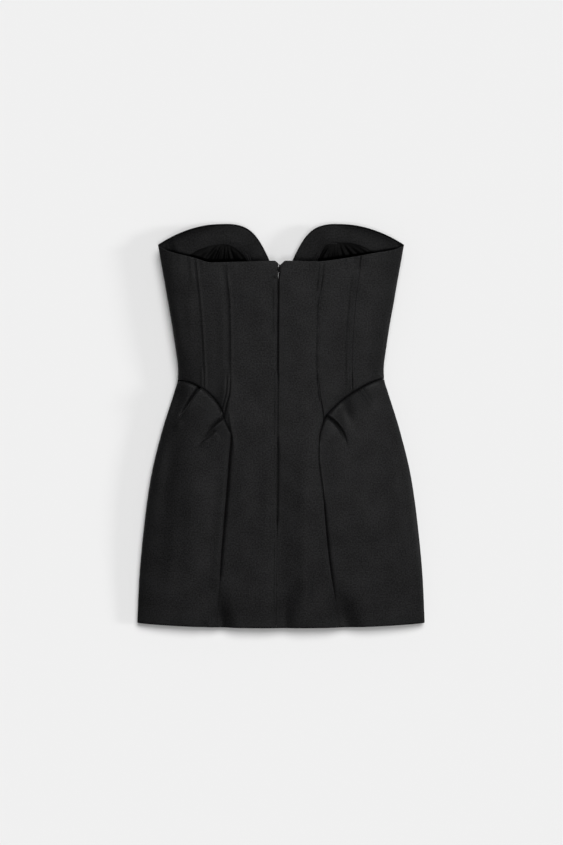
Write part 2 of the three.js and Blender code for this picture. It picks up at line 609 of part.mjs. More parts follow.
// The slider's body is behind the coil, and its bridge stands through the slit over the tab's end bar.
function slider() {
  const bodyTop = -(CLOTH + ZIP.behind + SEAM.sink + ZIP.coil + SEAM_GAP);
  const body = new THREE.ExtrudeGeometry(roundedBox(SLIDER.width, SLIDER.length, 1.6), {
    depth: SLIDER.thick, bevelEnabled: false, curveSegments: 4,
  });
  body.translate(0, 0, bodyTop - SLIDER.thick);
  const reach = pivotZ - clothZ + BRIDGE.clear / 2 + BRIDGE.bar;
  const foot = bodyTop - 0.5;
  const end = BRIDGE.length / 2;
  const round = 1.2;
  const arch = new THREE.Shape();
  arch.moveTo(-end, foot).lineTo(end, foot).lineTo(end, reach - round);
  arch.absarc(end - round, reach - round, round, 0, Math.PI / 2, false);
  arch.absarc(-end + round, reach - round, round, Math.PI / 2, Math.PI, false);
  const hole = new THREE.Path();
  const holeY = reach - BRIDGE.bar - BRIDGE.clear / 2;
  hole.absellipse(0, holeY, end - BRIDGE.bar, BRIDGE.clear / 2, 0, Math.PI * 2, true);
  arch.holes.push(hole);
  const bridge = new THREE.ExtrudeGeometry(arch, { depth: BRIDGE.width, bevelEnabled: false, curveSegments: 8 });
  bridge.translate(0, 0, -BRIDGE.width / 2);
  bridge.rotateX(Math.PI / 2);
  bridge.rotateZ(Math.PI / 2);
  const group = new THREE.Group();
  group.position.set(sliderX, SLIDER.y, clothZ);
  dress.add(group);
  add("zip_slider", geometryOf(solidOf(body).add(solidOf(bridge))), materials.metal, group);
}

// The tab is a drop-shaped plate with a slot. Its end bar turns under the bridge, and it lies on the cloth.
function tab() {
  const tip = TAB.length - TAB.bar / 2;
  const wide = TAB.width / 2;
  const eye = TAB.eyeWidth / 2;
  const top = TAB.bar / 2;
  const shape = new THREE.Shape();
  shape.moveTo(-eye + 0.5, top).lineTo(eye - 0.5, top).lineTo(eye, top - 0.5);
  shape.lineTo(eye * 0.82, -tip * 0.42).lineTo(wide, -tip + wide);
  shape.absarc(0, -tip + wide, wide, 0, -Math.PI, true);
  shape.lineTo(-eye * 0.82, -tip * 0.42).lineTo(-eye, top - 0.5);
  const slot = new THREE.Path();
  const slotHalf = TAB.holeWidth / 2;
  slot.moveTo(-slotHalf, -top).lineTo(-slotHalf, -top - TAB.hole).lineTo(slotHalf, -top - TAB.hole);
  slot.lineTo(slotHalf, -top);
  shape.holes.push(slot);
  const plate = new THREE.ExtrudeGeometry(shape, { depth: TAB.thick, bevelEnabled: false, curveSegments: 10 });
  plate.translate(0, 0, -TAB.thick / 2);
  const group = new THREE.Group();
  group.position.set(sliderX + TAB.shift, SLIDER.y, pivotZ);
  group.rotation.z = THREE.MathUtils.degToRad(-TAB.lean);
  dress.add(group);
  add("zip_tab", plate, materials.metal, group);
}

backHalf("left", -1);
backHalf("right", 1);
frontPanels();
facingsAndLinings();
zipTape();
slider();
tab();

export default dress;
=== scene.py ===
"""A strapless mini dress in black crepe that lies flat on its front, seen from its back.

Each cut panel is a thin shell on one lens-shaped tube: a flat front on the floor and an arched back over it.
The tables and the shapes are in millimetres, and a mesh gets them in metres. X runs across the dress, Y from
the hem to the neckline and Z up. Left and right are the wearer's, so the left is at low X.
"""

import json

import bpy
import numpy as np
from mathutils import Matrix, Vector


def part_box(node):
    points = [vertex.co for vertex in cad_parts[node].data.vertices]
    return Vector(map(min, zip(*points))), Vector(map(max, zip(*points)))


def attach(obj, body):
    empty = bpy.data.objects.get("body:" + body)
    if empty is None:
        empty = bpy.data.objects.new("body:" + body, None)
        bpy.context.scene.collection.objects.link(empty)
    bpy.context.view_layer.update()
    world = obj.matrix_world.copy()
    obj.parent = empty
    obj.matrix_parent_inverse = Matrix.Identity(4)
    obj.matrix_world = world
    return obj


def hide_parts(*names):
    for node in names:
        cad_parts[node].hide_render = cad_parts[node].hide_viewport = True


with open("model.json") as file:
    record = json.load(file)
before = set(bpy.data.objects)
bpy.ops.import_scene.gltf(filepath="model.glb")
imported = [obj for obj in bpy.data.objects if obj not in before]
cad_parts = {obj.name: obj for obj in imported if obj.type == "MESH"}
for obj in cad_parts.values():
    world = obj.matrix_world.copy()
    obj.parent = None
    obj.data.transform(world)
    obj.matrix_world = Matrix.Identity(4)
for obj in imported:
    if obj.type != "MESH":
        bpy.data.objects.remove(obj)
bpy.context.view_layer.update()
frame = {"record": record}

MM = 0.001  # a millimetre in metres
# The thickness of the cloth with its interlining, of the facing and of the lining, and the gap between them.
CLOTH, FACING, LINING, LAYER_GAP = 1.3, 0.9, 0.5, 0.3
ARCH_POWER = 0.6  # the back's arch: 1 would be an ellipse, and less is flatter
FRONT_ROLL = 30  # how far in from the side seam the front starts to curve up
SIDE_FADE = 1.8  # how soon folds and ripples reach their full height, going in from a side seam
PHOTO_SCALE = 1.65  # millimetres for one pixel of the photo's frame
PHOTO_HEIGHT = 845
CAMERA_PLACE = (0.8, 5.8, 3200)
SENSOR = 36
SEEN_HEIGHT = 14  # the level of the dress's outline, where the photo's scale holds
AMBIENT, BACKDROP = 0.11, 0.87  # the strength of the light from all round, and how bright the backdrop looks
FLOOR_HALF, FLOOR_COLOUR = 4000, 0.82
# Each cloth's darkest colour, its threads' and speckle's width and its relief's depth in metres, and how
# strong its pebbles are.
CREPE = {"dark": (8e-4, 8e-4, 9e-4), "thread": 5e-4, "speckle": 0.0024, "relief": 1.4e-4, "pebble": 0.8}
# The lining's colours are much darker than the crepe's: black satin, darkened further as painted shade for
# the hollows inside the cups.
DARKER_SATIN_PAINTED_SHADE = {"dark": (3e-4, 3e-4, 3e-4), "thread": 2e-4, "speckle": 0.003, "relief": 5e-5, "pebble": 0.2}
TAPE = {"dark": (0.003, 0.003, 0.003), "thread": 8e-4, "speckle": 0.0015, "relief": 1e-4, "pebble": 0.3}
# Each sun's strength, the direction that its light comes from, and the angle in degrees that it fills.
SUNS = (
    ("key", 2.45, (0.2, 0.6, 1), 36),
    ("top", 0.6, (0.1, -0.28, 1), 15),
    ("side", 1.05, (1, 0, 0.36), 10),
)


def table(names, *rows):
    """Rows of numbers as one array for each named column."""
    return {name: np.array(column, float) for name, column in zip(names.split(), zip(*rows))}


# half is half the width laid flat. side, crown and rest are the heights of the side seam and of the middle of
# the back and of the front.
LEVELS = table(
    "y half side crown rest",
    (333, 209, 21, 38, 17),
    (297, 203, 21, 39, 18),
    (211, 187.5, 19, 40, 18),
    (132, 174.5, 17, 40, 12),
    (92, 170, 15, 40, 8),
    (77, 171.3, 14, 40, 6),
    (53, 177.8, 14, 40.2, 3),
    (33, 184.2, 14, 40.5, 0),
    (-7, 196.5, 13, 41, 0),
    (-86, 215.5, 12, 40.6, 0),
    (-165, 226.5, 11, 38.3, 0),
    (-250, 234.5, 10, 32.5, 0),
    (-333, 238.5, 9, 23.5, 0),
)
BACK_SEAMS = table(
    "y side_left princess_left centre princess_right side_right",
    (300, -141, -92, -4, 73, 134),
    (270, -139, -90, -4, 72, 131),
    (190, -131, -83, -4.5, 64, 121),
    (110, -126, -82, -5, 62, 117),
    (60, -125, -84, -5, 64, 117),
    (15, -125, -93, -5, 70, 119),
    (-19, -125, -81, -5.5, 62.5, 119),
    (-45, -125, -83.5, -5.5, 62, 119),
    (-100, -125, -87.5, -6, 68, 119),
    (-214, -125, -97.5, -7, 79, 119),
    (-333, -125, -106, -8, 97, 119),
)
FRONT_SEAMS = table(
    "y princess", (333, 92), (240, 92), (150, 79), (77, 72), (12, 79), (-30, 73), (-333, 105)
)
BACK_NECK = table(
    "x y",
    (-206, 299), (-188, 288.5), (-142, 276), (-115, 268.5), (-60, 269.5), (0, 271),
    (60, 270), (96, 274), (154, 284), (188, 290.5), (206, 299),
)
NOTCH = {"x": -1.6, "half": 8, "depth": 7.2}  # the dip of the back's top edge at the zip
# The facing's lower edge.
FACING_EDGE = {
    "left": table(
        "x y",
        (0, 214), (44, 232), (54, 268), (62, 281), (72, 290), (84, 297), (97, 299), (112, 297),
        (134, 291), (155, 279), (176, 272), (206, 262),
    ),
    "right": table(
        "x y",
        (0, 214), (48, 226), (57, 262), (64, 281), (73, 297), (90, 302), (110, 301.5), (127, 298),
        (149, 288), (176, 276), (206, 264),
    ),
}
FACING_IN, FACING_DOWN = 14, 3.4  # how far the facing stays from the side seam and from the neckline's edge
LINING_FOOT, LINING_SIDES = 196, (42, 170)  # the level of the lining's lower edge, and where its sides are
LINING_UNDER = 5  # how far the lining runs on behind the facing
# A hip seam runs from the side seam at side_y to the princess seam at join_y.
ARC_LEFT = {"sign": -1, "side_y": 76, "join_y": 15, "power": 1.8, "root": 1.5}
ARC_RIGHT = {"sign": 1, "side_y": 79, "join_y": 9, "power": 1.4, "root": 1.25}
ARC_FRONT = {"sign": 1, "side_y": 77, "join_y": 12, "power": 1.6, "root": 1.4}
CREST, CORNER = (92, 333), (203.5, 298)  # the front's top edge over a cup and at the side seam
HEM = {"y": -333, "rise": 8, "half": 238.5, "power": 2.6, "front_lift": 3}
CUP = {"x": 95, "y": 214, "across": 84, "up": 98, "depth": 17.6}
# The lining's gathers: the point that they fan out from, how fast they follow each other, how high they are,
# and how far from the point they are fully grown and have faded again.
GATHERS = {"x": 90, "y": 314, "turns": 27, "height": 1, "grown": 30, "faded": 150}

# Soft ridges (rise over 0) and troughs, each along a line, with how far they reach sideways.
FOLDS = table(
    "x0 y0 x1 y1 rise reach",
    (-108, -270, -90, -376, -8, 15),
    (-128, -316, -126, -352, -3, 9),
    (86, -262, 122, -378, -7.5, 19),
    (8, -262, 3, -370, -4.5, 14),
    (38, -180, 40, -345, 2, 12),
    (-17, -20, -20, -270, 2.4, 13),
    (-6, -10, -8, -330, -2.8, 19),
    (42, 0, 40, -240, 2, 16),
    (88, 5, 100, -130, 1.2, 14),
    (135, -60, 160, -290, 2, 28),
    (172, 0, 209, -230, -3, 13),
    (-176, 5, -198, -160, -2.5, 14),
    (-140, -20, -152, -260, 2.5, 22),
    (-103, -60, -120, -270, -1.2, 11),
    (-178, 262, -164, 150, -2, 14),
    (193, 290, 181, 215, -2, 11),
    # Beside the left hip's side seam, at its tuck's end, below and above the junction of the left seams, up
    # the left side, and on the right hip.
    (-168, 82, -186, -2, -8, 14),
    (-167, 18, -175, -8, 2.6, 8),
    (-85, 28, -76, -42, 2.2, 3),
    (-86, 100, -90, 8, 2.6, 12),
    (-182, 290, -170, 50, 5, 20),
    (97, 54, 112, -4, -5, 13),
    # Small creases.
    (-35, 250, -30, 120, 0.5, 12),
    (28, 240, 34, 60, 0.5, 14),
    (-150, 240, -146, 110, 0.7, 8),
    (152, 230, 146, 100, 0.6, 9),
    (-108, 220, -104, 90, -0.5, 9),
    (96, 250, 90, 120, -0.6, 10),
    (-60, 90, -30, 10, -0.5, 12),
    (30, 70, 44, 10, 0.5, 10),
    (-172, -120, -186, -300, 1, 12),
    (-62, -40, -66, -210, 0.7, 12),
    (60, -150, 62, -320, -0.9, 10),
    (140, -30, 170, -200, -0.8, 9),
    (186, -120, 204, -320, 1.2, 11),
)
FOLD_FADE = 0.38  # the share of a fold's length over which it fades from its middle
FRONT_FOLDS = table(
    "x0 y0 x1 y1 rise reach",
    (-30, 20, -44, -240, -1.4, 16),
    (26, -40, 38, -300, -1.2, 14),
    (-120, 20, -150, -220, -1.6, 18),
    (128, 10, 160, -260, -1.5, 16),
    (70, -180, 84, -345, -1.8, 14),
    (-84, -200, -76, -345, -1.6, 13),
    (-8, 190, 6, 60, -1, 12),
    (-185, 304, -178, 258, 6, 7),
)
# Tucks of the hip panels: three points of a bent line from the hip seam, the height of the folded edge, how
# far the raised cloth runs out, the gutter's depth and width under the edge, and half the width of the step.
# The cloth on the line's left-hand side, looking along it, stands higher, or lower if the height is under 0.
TUCKS = table(
    "x0 y0 x1 y1 x2 y2 height spread gutter wide step",
    (-134, 61, -153, 34, -170, 8, 8.5, 24, 5.5, 2.4, 1.8),
    (-93, 14, -107, 3, -124, -13, 5.6, 16, 4.6, 1, 0.9),
    (-112, -13, -122, -20, -137, -32, 2.6, 9, 1.2, 2.4, 1.6),
    (125, 57, 137, 44, 146, 23, -3.4, 7, 0, 1, 1.6),
    (132, 60, 144, 46, 152, 27, -2.8, 7, 0, 1, 1.6),
    (76, 17, 102, 3, 110, -32, 6.2, 8, 4.6, 1.6, 1.2),
)
# The hollow on a tuck's low side as a share of its height, its reach, how far off the line the gutter is, and
# the shares of the line between which the tuck starts, the tuck ends and the gutter ends.
TUCK = {"hollow": 0.5, "reach": 9, "off": 1.2, "start": (-0.3, -0.05), "end": (1.12, 0.35),
        "gutter_end": (1.05, 0.7)}
# The front's top edge has a narrow roll a little below it, and its outer parts curl up. The front falls away
# under the back's top edge.
NECK_ROLL = {"height": 1.6, "below": 1.1, "wide": 1.2}
NECK_CURL = {"left": 8, "right": 5, "reach": 6, "where": (112, 190, 18)}
UNDER_EDGE = {"drop": 5, "below": 0.5, "wide": 3}
# Narrow ridges (high over 0) and dips that the seam allowances press into the cloth beside a seam: how far to
# the right of the seam, how wide, how high, and between which levels.
SEAM_RIDGES = (
    ("side_left", 1, 1.9, 1.1, 62, 278),
    ("side_left", -8.5, 1.8, 0.8, 235, 278),
    ("side_left", -4, 1.5, 1, 60, 92),
    ("princess_left", 0.6, 2, 0.8, 84, 250),
    ("princess_left", -6, 5, -0.6, 100, 262),
    ("princess_left", -2.8, 1.3, 1.3, 14, 72),
    ("princess_left", -5.8, 1, -1.2, 18, 80),
    ("centre", 1.9, 1.4, 1.5, 84, 240),
    ("centre", -6.3, 1.4, 0.7, 150, 226),
    ("centre", -2.4, 1.3, 1, -300, -165),
    ("centre", -3.4, 1.3, 0.7, -165, 90),
    ("princess_right", -6, 1.8, 0.9, 222, 268),
    ("princess_right", 0.2, 1.8, 0.9, 214, 266),
    ("princess_right", -1.6, 2, 0.9, 84, 214),
    ("princess_right", -1.4, 1.6, 1.7, 40, 86),
    ("princess_right", 1.4, 1.7, 2.2, -118, -30),
    ("side_right", -5, 1.7, 1.3, 266, 290),
    ("side_right", 0.2, 1.7, 1.5, 262, 290),
    ("side_right", 5.2, 1.7, 1.4, 266, 290),
    ("side_right", -7.5, 3, 1, 66, 252),
    ("side_right", 1, 1.7, 0.3, 66, 252),
    ("side_right", -3.4, 1.4, 1.4, 60, 84),
    ("side_right", 1.8, 1.4, 1.4, 62, 86),
)
# The long seams, over y: the gutter's depth at each, and the width over which the cloth's edge turns in.
LONG_SEAMS = table(
    "y left left_turn centre centre_turn right right_turn",
    (345, 0, 0.12, 1.6, 0.8, 0, 0.1),
    (100, 0, 0.12, 1.7, 0.8, 0, 0.1),
    (80, 0.5, 0.4, 0.9, 0.5, 0, 0.1),
    (62, 1.8, 0.9, 0.4, 0.3, 2.2, 0.9),
    (54, 2.4, 1.1, 0.2, 0.3, 2.4, 1.1),
    (25, 3.2, 1.4, 0.2, 0.3, 3, 1.3),
    (6, 1.6, 0.7, 0.2, 0.3, 2.6, 1.4),
    (-12, 1.4, 0.6, 0.3, 0.35, 2.2, 1.1),
    (-25, 4.4, 1.6, 1.4, 0.8, 1.3, 0.8),
    (-38, 5, 1.8, 2.4, 1.1, 0.2, 0.2),
    (-95, 6, 2, 3, 1.3, 0.3, 0.2),
    (-118, 6, 2, 2.8, 1.2, 1.6, 0.8),
    (-155, 5.6, 1.9, 2, 0.9, 3.4, 1.4),
    (-172, 5, 1.8, 0.3, 0.2, 3.4, 1.4),
    (-215, 3.8, 1.4, 0, 0.1, 3.4, 1.3),
    (-244, 2.2, 1, 0, 0.1, 3, 1.2),
    (-256, 0.3, 0.25, 0, 0.1, 2.6, 1),
    (-282, 0.1, 0.15, 0, 0.1, 0.9, 0.4),
    (-300, 0, 0.1, 0, 0.1, 0, 0.1),
    (-345, 0, 0.1, 0, 0.1, 0, 0.1),
)
# The closed zip: the tape's ends, half width and thickness and how far behind the cloth it is, and the coil's
# pitch, half width, half depth and the radius of its thread.
ZIP = {"top": 261.5, "foot": -150, "half": 12, "tape": 0.6, "behind": 0.6,
       "pitch": 1.5, "wide": 1.9, "deep": 0.85, "thread": 0.28}
COIL_ENDS = (2, 3.5)  # how far the coil stays from the tape's foot and the slider's middle
COIL_STEPS = 10  # points in a turn
SLIDER_Y = 256.5
BAR = 0.9  # the thickness of the tab's end bar and of the bridge over it
TAB = {"tip": 15.05, "round": 2.45, "shoulder": 2.2, "waist": (1.8, -6.3), "bar": 0.45, "bar_half": 1.7,
       "slot_half": 1.3, "slot_foot": -3.85, "edge": 0.28, "lean": 25}
# The tab's section, from the slot's edge over the top to the outer edge and back below: the share of the way
# out, how many widths of the rounded edge further, and the height.
TAB_SECTION = table(
    "out edges height",
    (0, 0, -0.2), (0, 0, 0.2), (0, 0.3, 0.35), (0, 1, 0.42), (0.25, 0, 0.5), (0.5, 0, 0.55), (0.75, 0, 0.5),
    (1, -1, 0.42), (1, -0.3, 0.35), (1, 0, 0.2), (1, 0, -0.2), (1, -0.3, -0.35), (1, -1, -0.42),
    (0.5, 0, -0.42), (0, 1, -0.42), (0, 0.3, -0.35),
)
# The levels that each kind of panel lies within. Its columns are spaced at the middle one.
SPANS = {"whole": (-345, 345), "bodice": (-5, 345), "hip": (-345, 110), "front_side": (0, 345),
         "facing": (180, 345), "lining": (150, 345)}
# The hip panels' rows as shares of their length: closer over the tucks, and closest at the edges.
HIP_ROWS = np.concatenate([[0, 0.0008, 0.002, 0.004], np.linspace(0.007, 0.72, 92),
                           np.linspace(0.7225, 0.992, 108), [0.9945, 0.9965, 0.998, 0.999, 0.9996, 1]])


def through(rows, at, column):
    """A smooth curve through a table's rows: cubic pieces that keep to harmonic mean slopes."""
    order = np.argsort(rows[at])
    a, b = rows[at][order], rows[column][order]
    chord = np.diff(b) / np.diff(a)
    both = chord[:-1] * chord[1:]
    mean = np.where(both > 0, 2 * both / np.where(both > 0, chord[:-1] + chord[1:], 1), 0)
    slope = np.concatenate([chord[:1], mean, chord[-1:]])

    def curve(value):
        v = np.clip(value, a[0], a[-1])
        i = np.clip(np.searchsorted(a, v, side="right") - 1, 0, len(a) - 2)
        span = a[i + 1] - a[i]
        t = (v - a[i]) / span
        rising = b[i + 1] * (3 * t**2 - 2 * t**3) + slope[i + 1] * span * (t**3 - t**2)
        return rising + b[i] * (2 * t**3 - 3 * t**2 + 1) + slope[i] * span * (t**3 - 2 * t**2 + t)

    return curve


half_at, side_at, crown_at, rest_at = (through(LEVELS, "y", name) for name in list(LEVELS)[1:])
seam_at = {name: through(BACK_SEAMS, "y", name) for name in BACK_SEAMS if name != "y"}
front_seam = through(FRONT_SEAMS, "y", "princess")
back_neck_row = through(BACK_NECK, "x", "y")
centre_x = seam_at["centre"]


def across(x, y):
    """u of x at the level y: the place round the tube, -1 at the left side seam and 1 at the right one."""
    return np.arcsin(np.clip(x / half_at(y), -1, 1)) * 2 / np.pi


def smooth_step(value, low, high):
    """0 before low, 1 past high and 3 t^2 - 2 t^3 between them. It falls if high is under low."""
    t = np.clip((value - low) / (high - low), 0, 1)
    return t * t * (3 - 2 * t)


def between(value, low, high, fade):
    """1 between low and high, with soft ends."""
    return smooth_step(value, low - fade, low + fade) * smooth_step(value, high + fade, high - fade)


def back_section(u, y):
    """The arched back: x = half sin(u 90 deg), z = side + (crown - side) cos(u 90 deg)^ARCH_POWER, its normal
    and that cosine."""
    turn = u * np.pi / 2
    cos = np.maximum(np.cos(turn), 1e-9)
    rise = crown_at(y) - side_at(y)
    dx = half_at(y) * cos
    dz = -rise * ARCH_POWER * cos ** (ARCH_POWER - 1) * np.sin(turn)
    size = np.hypot(dx, dz)
    return half_at(y) * np.sin(turn), side_at(y) + rise * cos**ARCH_POWER, -dz / size, dx / size, cos


def front_section(u, y):
    """The same for the front: flat at the height rest, and a quarter of an ellipse up to the side seam."""
    turn = u * np.pi / 2
    half = half_at(y)
    x = half * np.sin(turn)
    rise = side_at(y) - rest_at(y)
    into = np.clip((np.abs(x) - half + FRONT_ROLL) / FRONT_ROLL, 0, 1)
    level = np.sqrt(np.maximum(1 - into**2, 0))
    slope = np.minimum(rise * into / (FRONT_ROLL * np.maximum(level, 1e-6)), 1e6)
    size = np.hypot(1, slope)
    return x, rest_at(y) + rise * (1 - level), np.sign(x) * slope / size, -1 / size, np.cos(turn)


def beside(points, x, y):
    """For each (x, y): the share along a run of straight pieces, and the signed distance to its left."""
    points = np.array(points, float)
    steps = np.diff(points, axis=0)
    lengths = np.hypot(steps[:, 0], steps[:, 1])
    before = np.concatenate([[0], np.cumsum(lengths)])
    best = np.full(np.shape(x), np.inf)
    along, left = np.zeros(np.shape(x)), np.zeros(np.shape(x))
    for k, (dx, dy) in enumerate(steps):
        px, py = x - points[k, 0], y - points[k, 1]
        free = (px * dx + py * dy) / lengths[k] ** 2
        held = np.clip(free, -np.inf if k == 0 else 0, np.inf if k == len(steps) - 1 else 1)
        away = np.hypot(px - held * dx, py - held * dy)
        near = away < best
        best = np.where(near, away, best)
        along = np.where(near, (before[k] + held * lengths[k]) / before[-1], along)
        left = np.where(near, np.sign(py * dx - px * dy) * away, left)
    return along, left


def bezier(points, count):
    """A Bezier curve: going from each point towards the next one by the share t, until one point is left."""
    t = np.linspace(0, 1, count)[:, None]
    left = list(np.array(points, float))
    while len(left) > 1:
        left = [(1 - t) * here + t * following for here, following in zip(left, left[1:])]
    return left[0]


def fold_rise(folds, x, y):
    """The sum of soft ridges: rise exp(-(left / reach)^2 - ((along - 1/2) / fade)^2)."""
    total = np.zeros(np.shape(x))
    for x0, y0, x1, y1, rise, reach in zip(*folds.values()):
        along, left = beside([(x0, y0), (x1, y1)], x, y)
        total += rise * np.exp(-((left / reach) ** 2) - ((along - 0.5) / FOLD_FADE) ** 2)
    return total


def seam_rise(x, y):
    """The narrow ridges beside the back's seams: high exp(-((x - seam - right) / wide)^2), with soft ends and
    uneven by two waves along the seam."""
    unevenness, slow, quick, soft = 0.35, 17, 7.3, 8
    total = np.zeros(np.shape(x))
    for name, right, wide, high, low, top in SEAM_RIDGES:
        uneven = 1 + unevenness * np.sin(y / slow + right) * np.sin(y / quick + wide)
        away = (x - seam_at[name](y) - right) / wide
        total += high * uneven * np.exp(-(away**2)) * between(y, low, top, soft)
    return total


def hanging_ripples(x, y):
    """Small upright ripples under the back's top edge: two waves over x that fade down and to the middle."""
    height, reach, narrow, wander, broad = 0.22, 14, 1.5, 6.1, 2.9
    below = np.maximum(back_neck(x) - y, 0)
    wave = np.sin(x / narrow + 1.4 * np.sin(x / wander)) + 0.6 * np.sin(x / broad + 2)
    share = 0.25 + 0.75 * smooth_step(x, 70, 110) + 0.5 * smooth_step(x, -110, -140)
    return height * wave * share * np.exp(-below / reach)


def tuck_rise(x, y):
    """Each tuck: a step at its folded edge that runs out as exp(-left / spread) on the high side, a hollow on
    the low side, and a gutter right under the edge."""
    total = np.zeros(np.shape(x))
    for *ends, height, spread, gutter, wide, half_step in zip(*TUCKS.values()):
        along, left = beside(bezier(np.reshape(ends, (3, 2)), 12), x, y)
        held = smooth_step(along, *TUCK["end"]) * smooth_step(along, *TUCK["start"])
        step = smooth_step(left, -half_step, half_step)
        raised = step * np.exp(-np.maximum(left, 0) / spread)
        hollow = (1 - step) * TUCK["hollow"] * np.exp(np.minimum(left, 0) / TUCK["reach"])
        cut = gutter * np.exp(-(((left + TUCK["off"]) / wide) ** 2)) * smooth_step(along, *TUCK["gutter_end"])
        total += held * (height * (raised - hollow) - cut)
    return total


def cup_rise(x, y):
    """Each cup's bump under the front: depth (1 - r^2)^2 for r below 1."""
    far = ((np.abs(x) - CUP["x"]) / CUP["across"]) ** 2 + ((y - CUP["y"]) / CUP["up"]) ** 2
    return CUP["depth"] * np.maximum(1 - far, 0) ** 2


def neck_curl(x, y):
    """How far the front's top edge stands up: a narrow roll all along it, and at its outer parts a curl that
    fades downwards and is higher on the left."""
    below = neck(x) - y
    roll = NECK_ROLL["height"] * np.exp(-(((below - NECK_ROLL["below"]) / NECK_ROLL["wide"]) ** 2))
    curl = np.where(x < 0, NECK_CURL["left"], NECK_CURL["right"]) * between(np.abs(x), *NECK_CURL["where"])
    return roll + curl * np.exp(-np.maximum(below, 0) / NECK_CURL["reach"])


def under_edge(x, y):
    """How far the front falls away under the back's top edge: drop exp(-((y - edge + below) / wide)^2)."""
    away = (y - back_neck_row(x) + UNDER_EDGE["below"]) / UNDER_EDGE["wide"]
    return UNDER_EDGE["drop"] * np.exp(-(away**2))


def on_back(u, y, out, tucked=False):
    """Points of a layer of the back. out is the distance outside the cloth's face."""
    x, z, nx, nz, flat = back_section(u, y)
    relief = fold_rise(FOLDS, x, y) + seam_rise(x, y) + hanging_ripples(x, y)
    if tucked:
        relief = relief + tuck_rise(x, y)
    rise = np.minimum(1, flat * SIDE_FADE) * relief + out
    return np.stack([x + nx * rise, y, z + nz * rise], axis=-1)


def on_front(u, y, out):
    """Points of a layer of the front, whose cups just reach the floor."""
    x, z, nx, nz, flat = front_section(u, y)
    held = np.minimum(1, flat * SIDE_FADE)
    rise = np.minimum(cup_rise(x, y), z) + held * fold_rise(FRONT_FOLDS, x, y) + out
    return np.stack([x + nx * rise, y, z + nz * rise + neck_curl(x, y) - held * under_edge(x, y)], axis=-1)


def back_neck(x):
    """The back's top edge, with a straight-sided notch at the zip."""
    near = np.maximum(0, 1 - np.abs(x - NOTCH["x"]) / NOTCH["half"])
    return back_neck_row(x) - NOTCH["depth"] * near


CUP_EDGE = np.concatenate([
    bezier([(0, 240), (7, 240), (12, 258), (19, 273)], 40)[:-1],
    bezier([(19, 273), (38, 314), (50, 334), CREST], 40),
])


def neck(x):
    """The front's top edge: two cubic curves from the V to the crest, and a parabola down to the corner."""
    far = np.abs(x)
    outer = CREST[1] - (CREST[1] - CORNER[1]) * ((far - CREST[0]) / (CORNER[0] - CREST[0])) ** 2
    return np.where(far >= CREST[0], outer, np.interp(far, CUP_EDGE[:, 0], CUP_EDGE[:, 1]))


def hem(x):
    """The back's hem: y + rise (|x| / half)^power."""
    return HEM["y"] + HEM["rise"] * np.minimum(1, np.abs(x) / HEM["half"]) ** HEM["power"]


def front_hem(x):
    """The front's hem, a little shorter."""
    return hem(x) + HEM["front_lift"]


def hip_arc(sign, side_y, join_y, power, root, princess):
    """y of a hip seam over x: join + (side - join) (1 - a^power)^(1/root), a from 0 at the side to 1."""
    side_x, join_x = half_at(side_y), np.abs(princess(join_y))

    def arc(x):
        a = np.clip((side_x - x * sign) / (side_x - join_x), 0, 1)
        return join_y + (side_y - join_y) * (1 - a**power) ** (1 / root)

    return arc


def line(x_at):
    """A seam's x at each y, as u at each y."""
    return lambda y: across(x_at(y), y)


def fixed(value):
    """A border at one value all along."""
    return lambda at: np.full(np.shape(at), float(value))


def meet(edge, x_at, low, high):
    """y where each column crosses an edge y = edge(x), by halving."""
    for _ in range(45):
        middle = (low + high) / 2
        below = edge(x_at(middle)) > middle
        low, high = np.where(below, middle, low), np.where(below, high, middle)
    return (low + high) / 2


# How an edge of a panel ends. sink is how far the cloth dips towards it over reach, gutter is a steeper dip,
# and roll is how wide a seam's edge turns in or a free edge is rounded both ways: each a number or a function
# of y. pucker is the size of its ripples, and turned is the width of the cloth folded in there.
PLAIN = {"sink": 0, "reach": 5, "gutter": 0, "gutter_reach": 1.3, "roll": 0.4, "pucker": 0, "free": False,
         "turned": 0}
FREE = {**PLAIN, "roll": 1.1, "free": True}
TURNED = {**FREE, "turned": 34}
BODICE_SEAM = {**PLAIN, "sink": 0.2, "reach": 4, "roll": 0.12, "pucker": 0.1}
ZIP_EDGE = {**PLAIN, "reach": 4, "gutter_reach": 1.2, "pucker": 0.06}
SIDE_SEAM = {**PLAIN, "sink": 0.2, "roll": 0.9, "pucker": 0.08}
WAIST_SEAM = {**PLAIN, "sink": 0.2, "gutter": 1.8, "gutter_reach": 1.2, "roll": 1.4, "pucker": 0.08}
HIP_SEAM = {**PLAIN, "sink": 1.4, "reach": 7, "gutter": 4.8, "gutter_reach": 1.9, "roll": 1.9, "pucker": 0.12}
HEM_EDGE = {**TURNED, "roll": 3.4}
# The share of the thickness that an edge turns in: both faces of a free edge, and a seam's outer face.
FREE_TURN, SEAM_TURN = 0.5, 0.94
SIDES = (("left", -1), ("right", 1))


def spaced(start, end, step, fine=(0, 0.15, 0.4, 0.8, 1.4, 2.2, 3.3)):
    """Shares from 0 to 1 across a width: fine by the two edges, and even between them."""
    width = end - start
    edge = np.array(fine)
    count = max(2, int(round((width - 2 * edge[-1]) / step)))
    middle = np.linspace(edge[-1], width - edge[-1], count + 1)[1:-1]
    return np.concatenate([edge, middle, width - edge[::-1]]) / width


def link(name, data):
    """A new object in the scene."""
    thing = bpy.data.objects.new(name, data)
    bpy.context.scene.collection.objects.link(thing)
    return thing


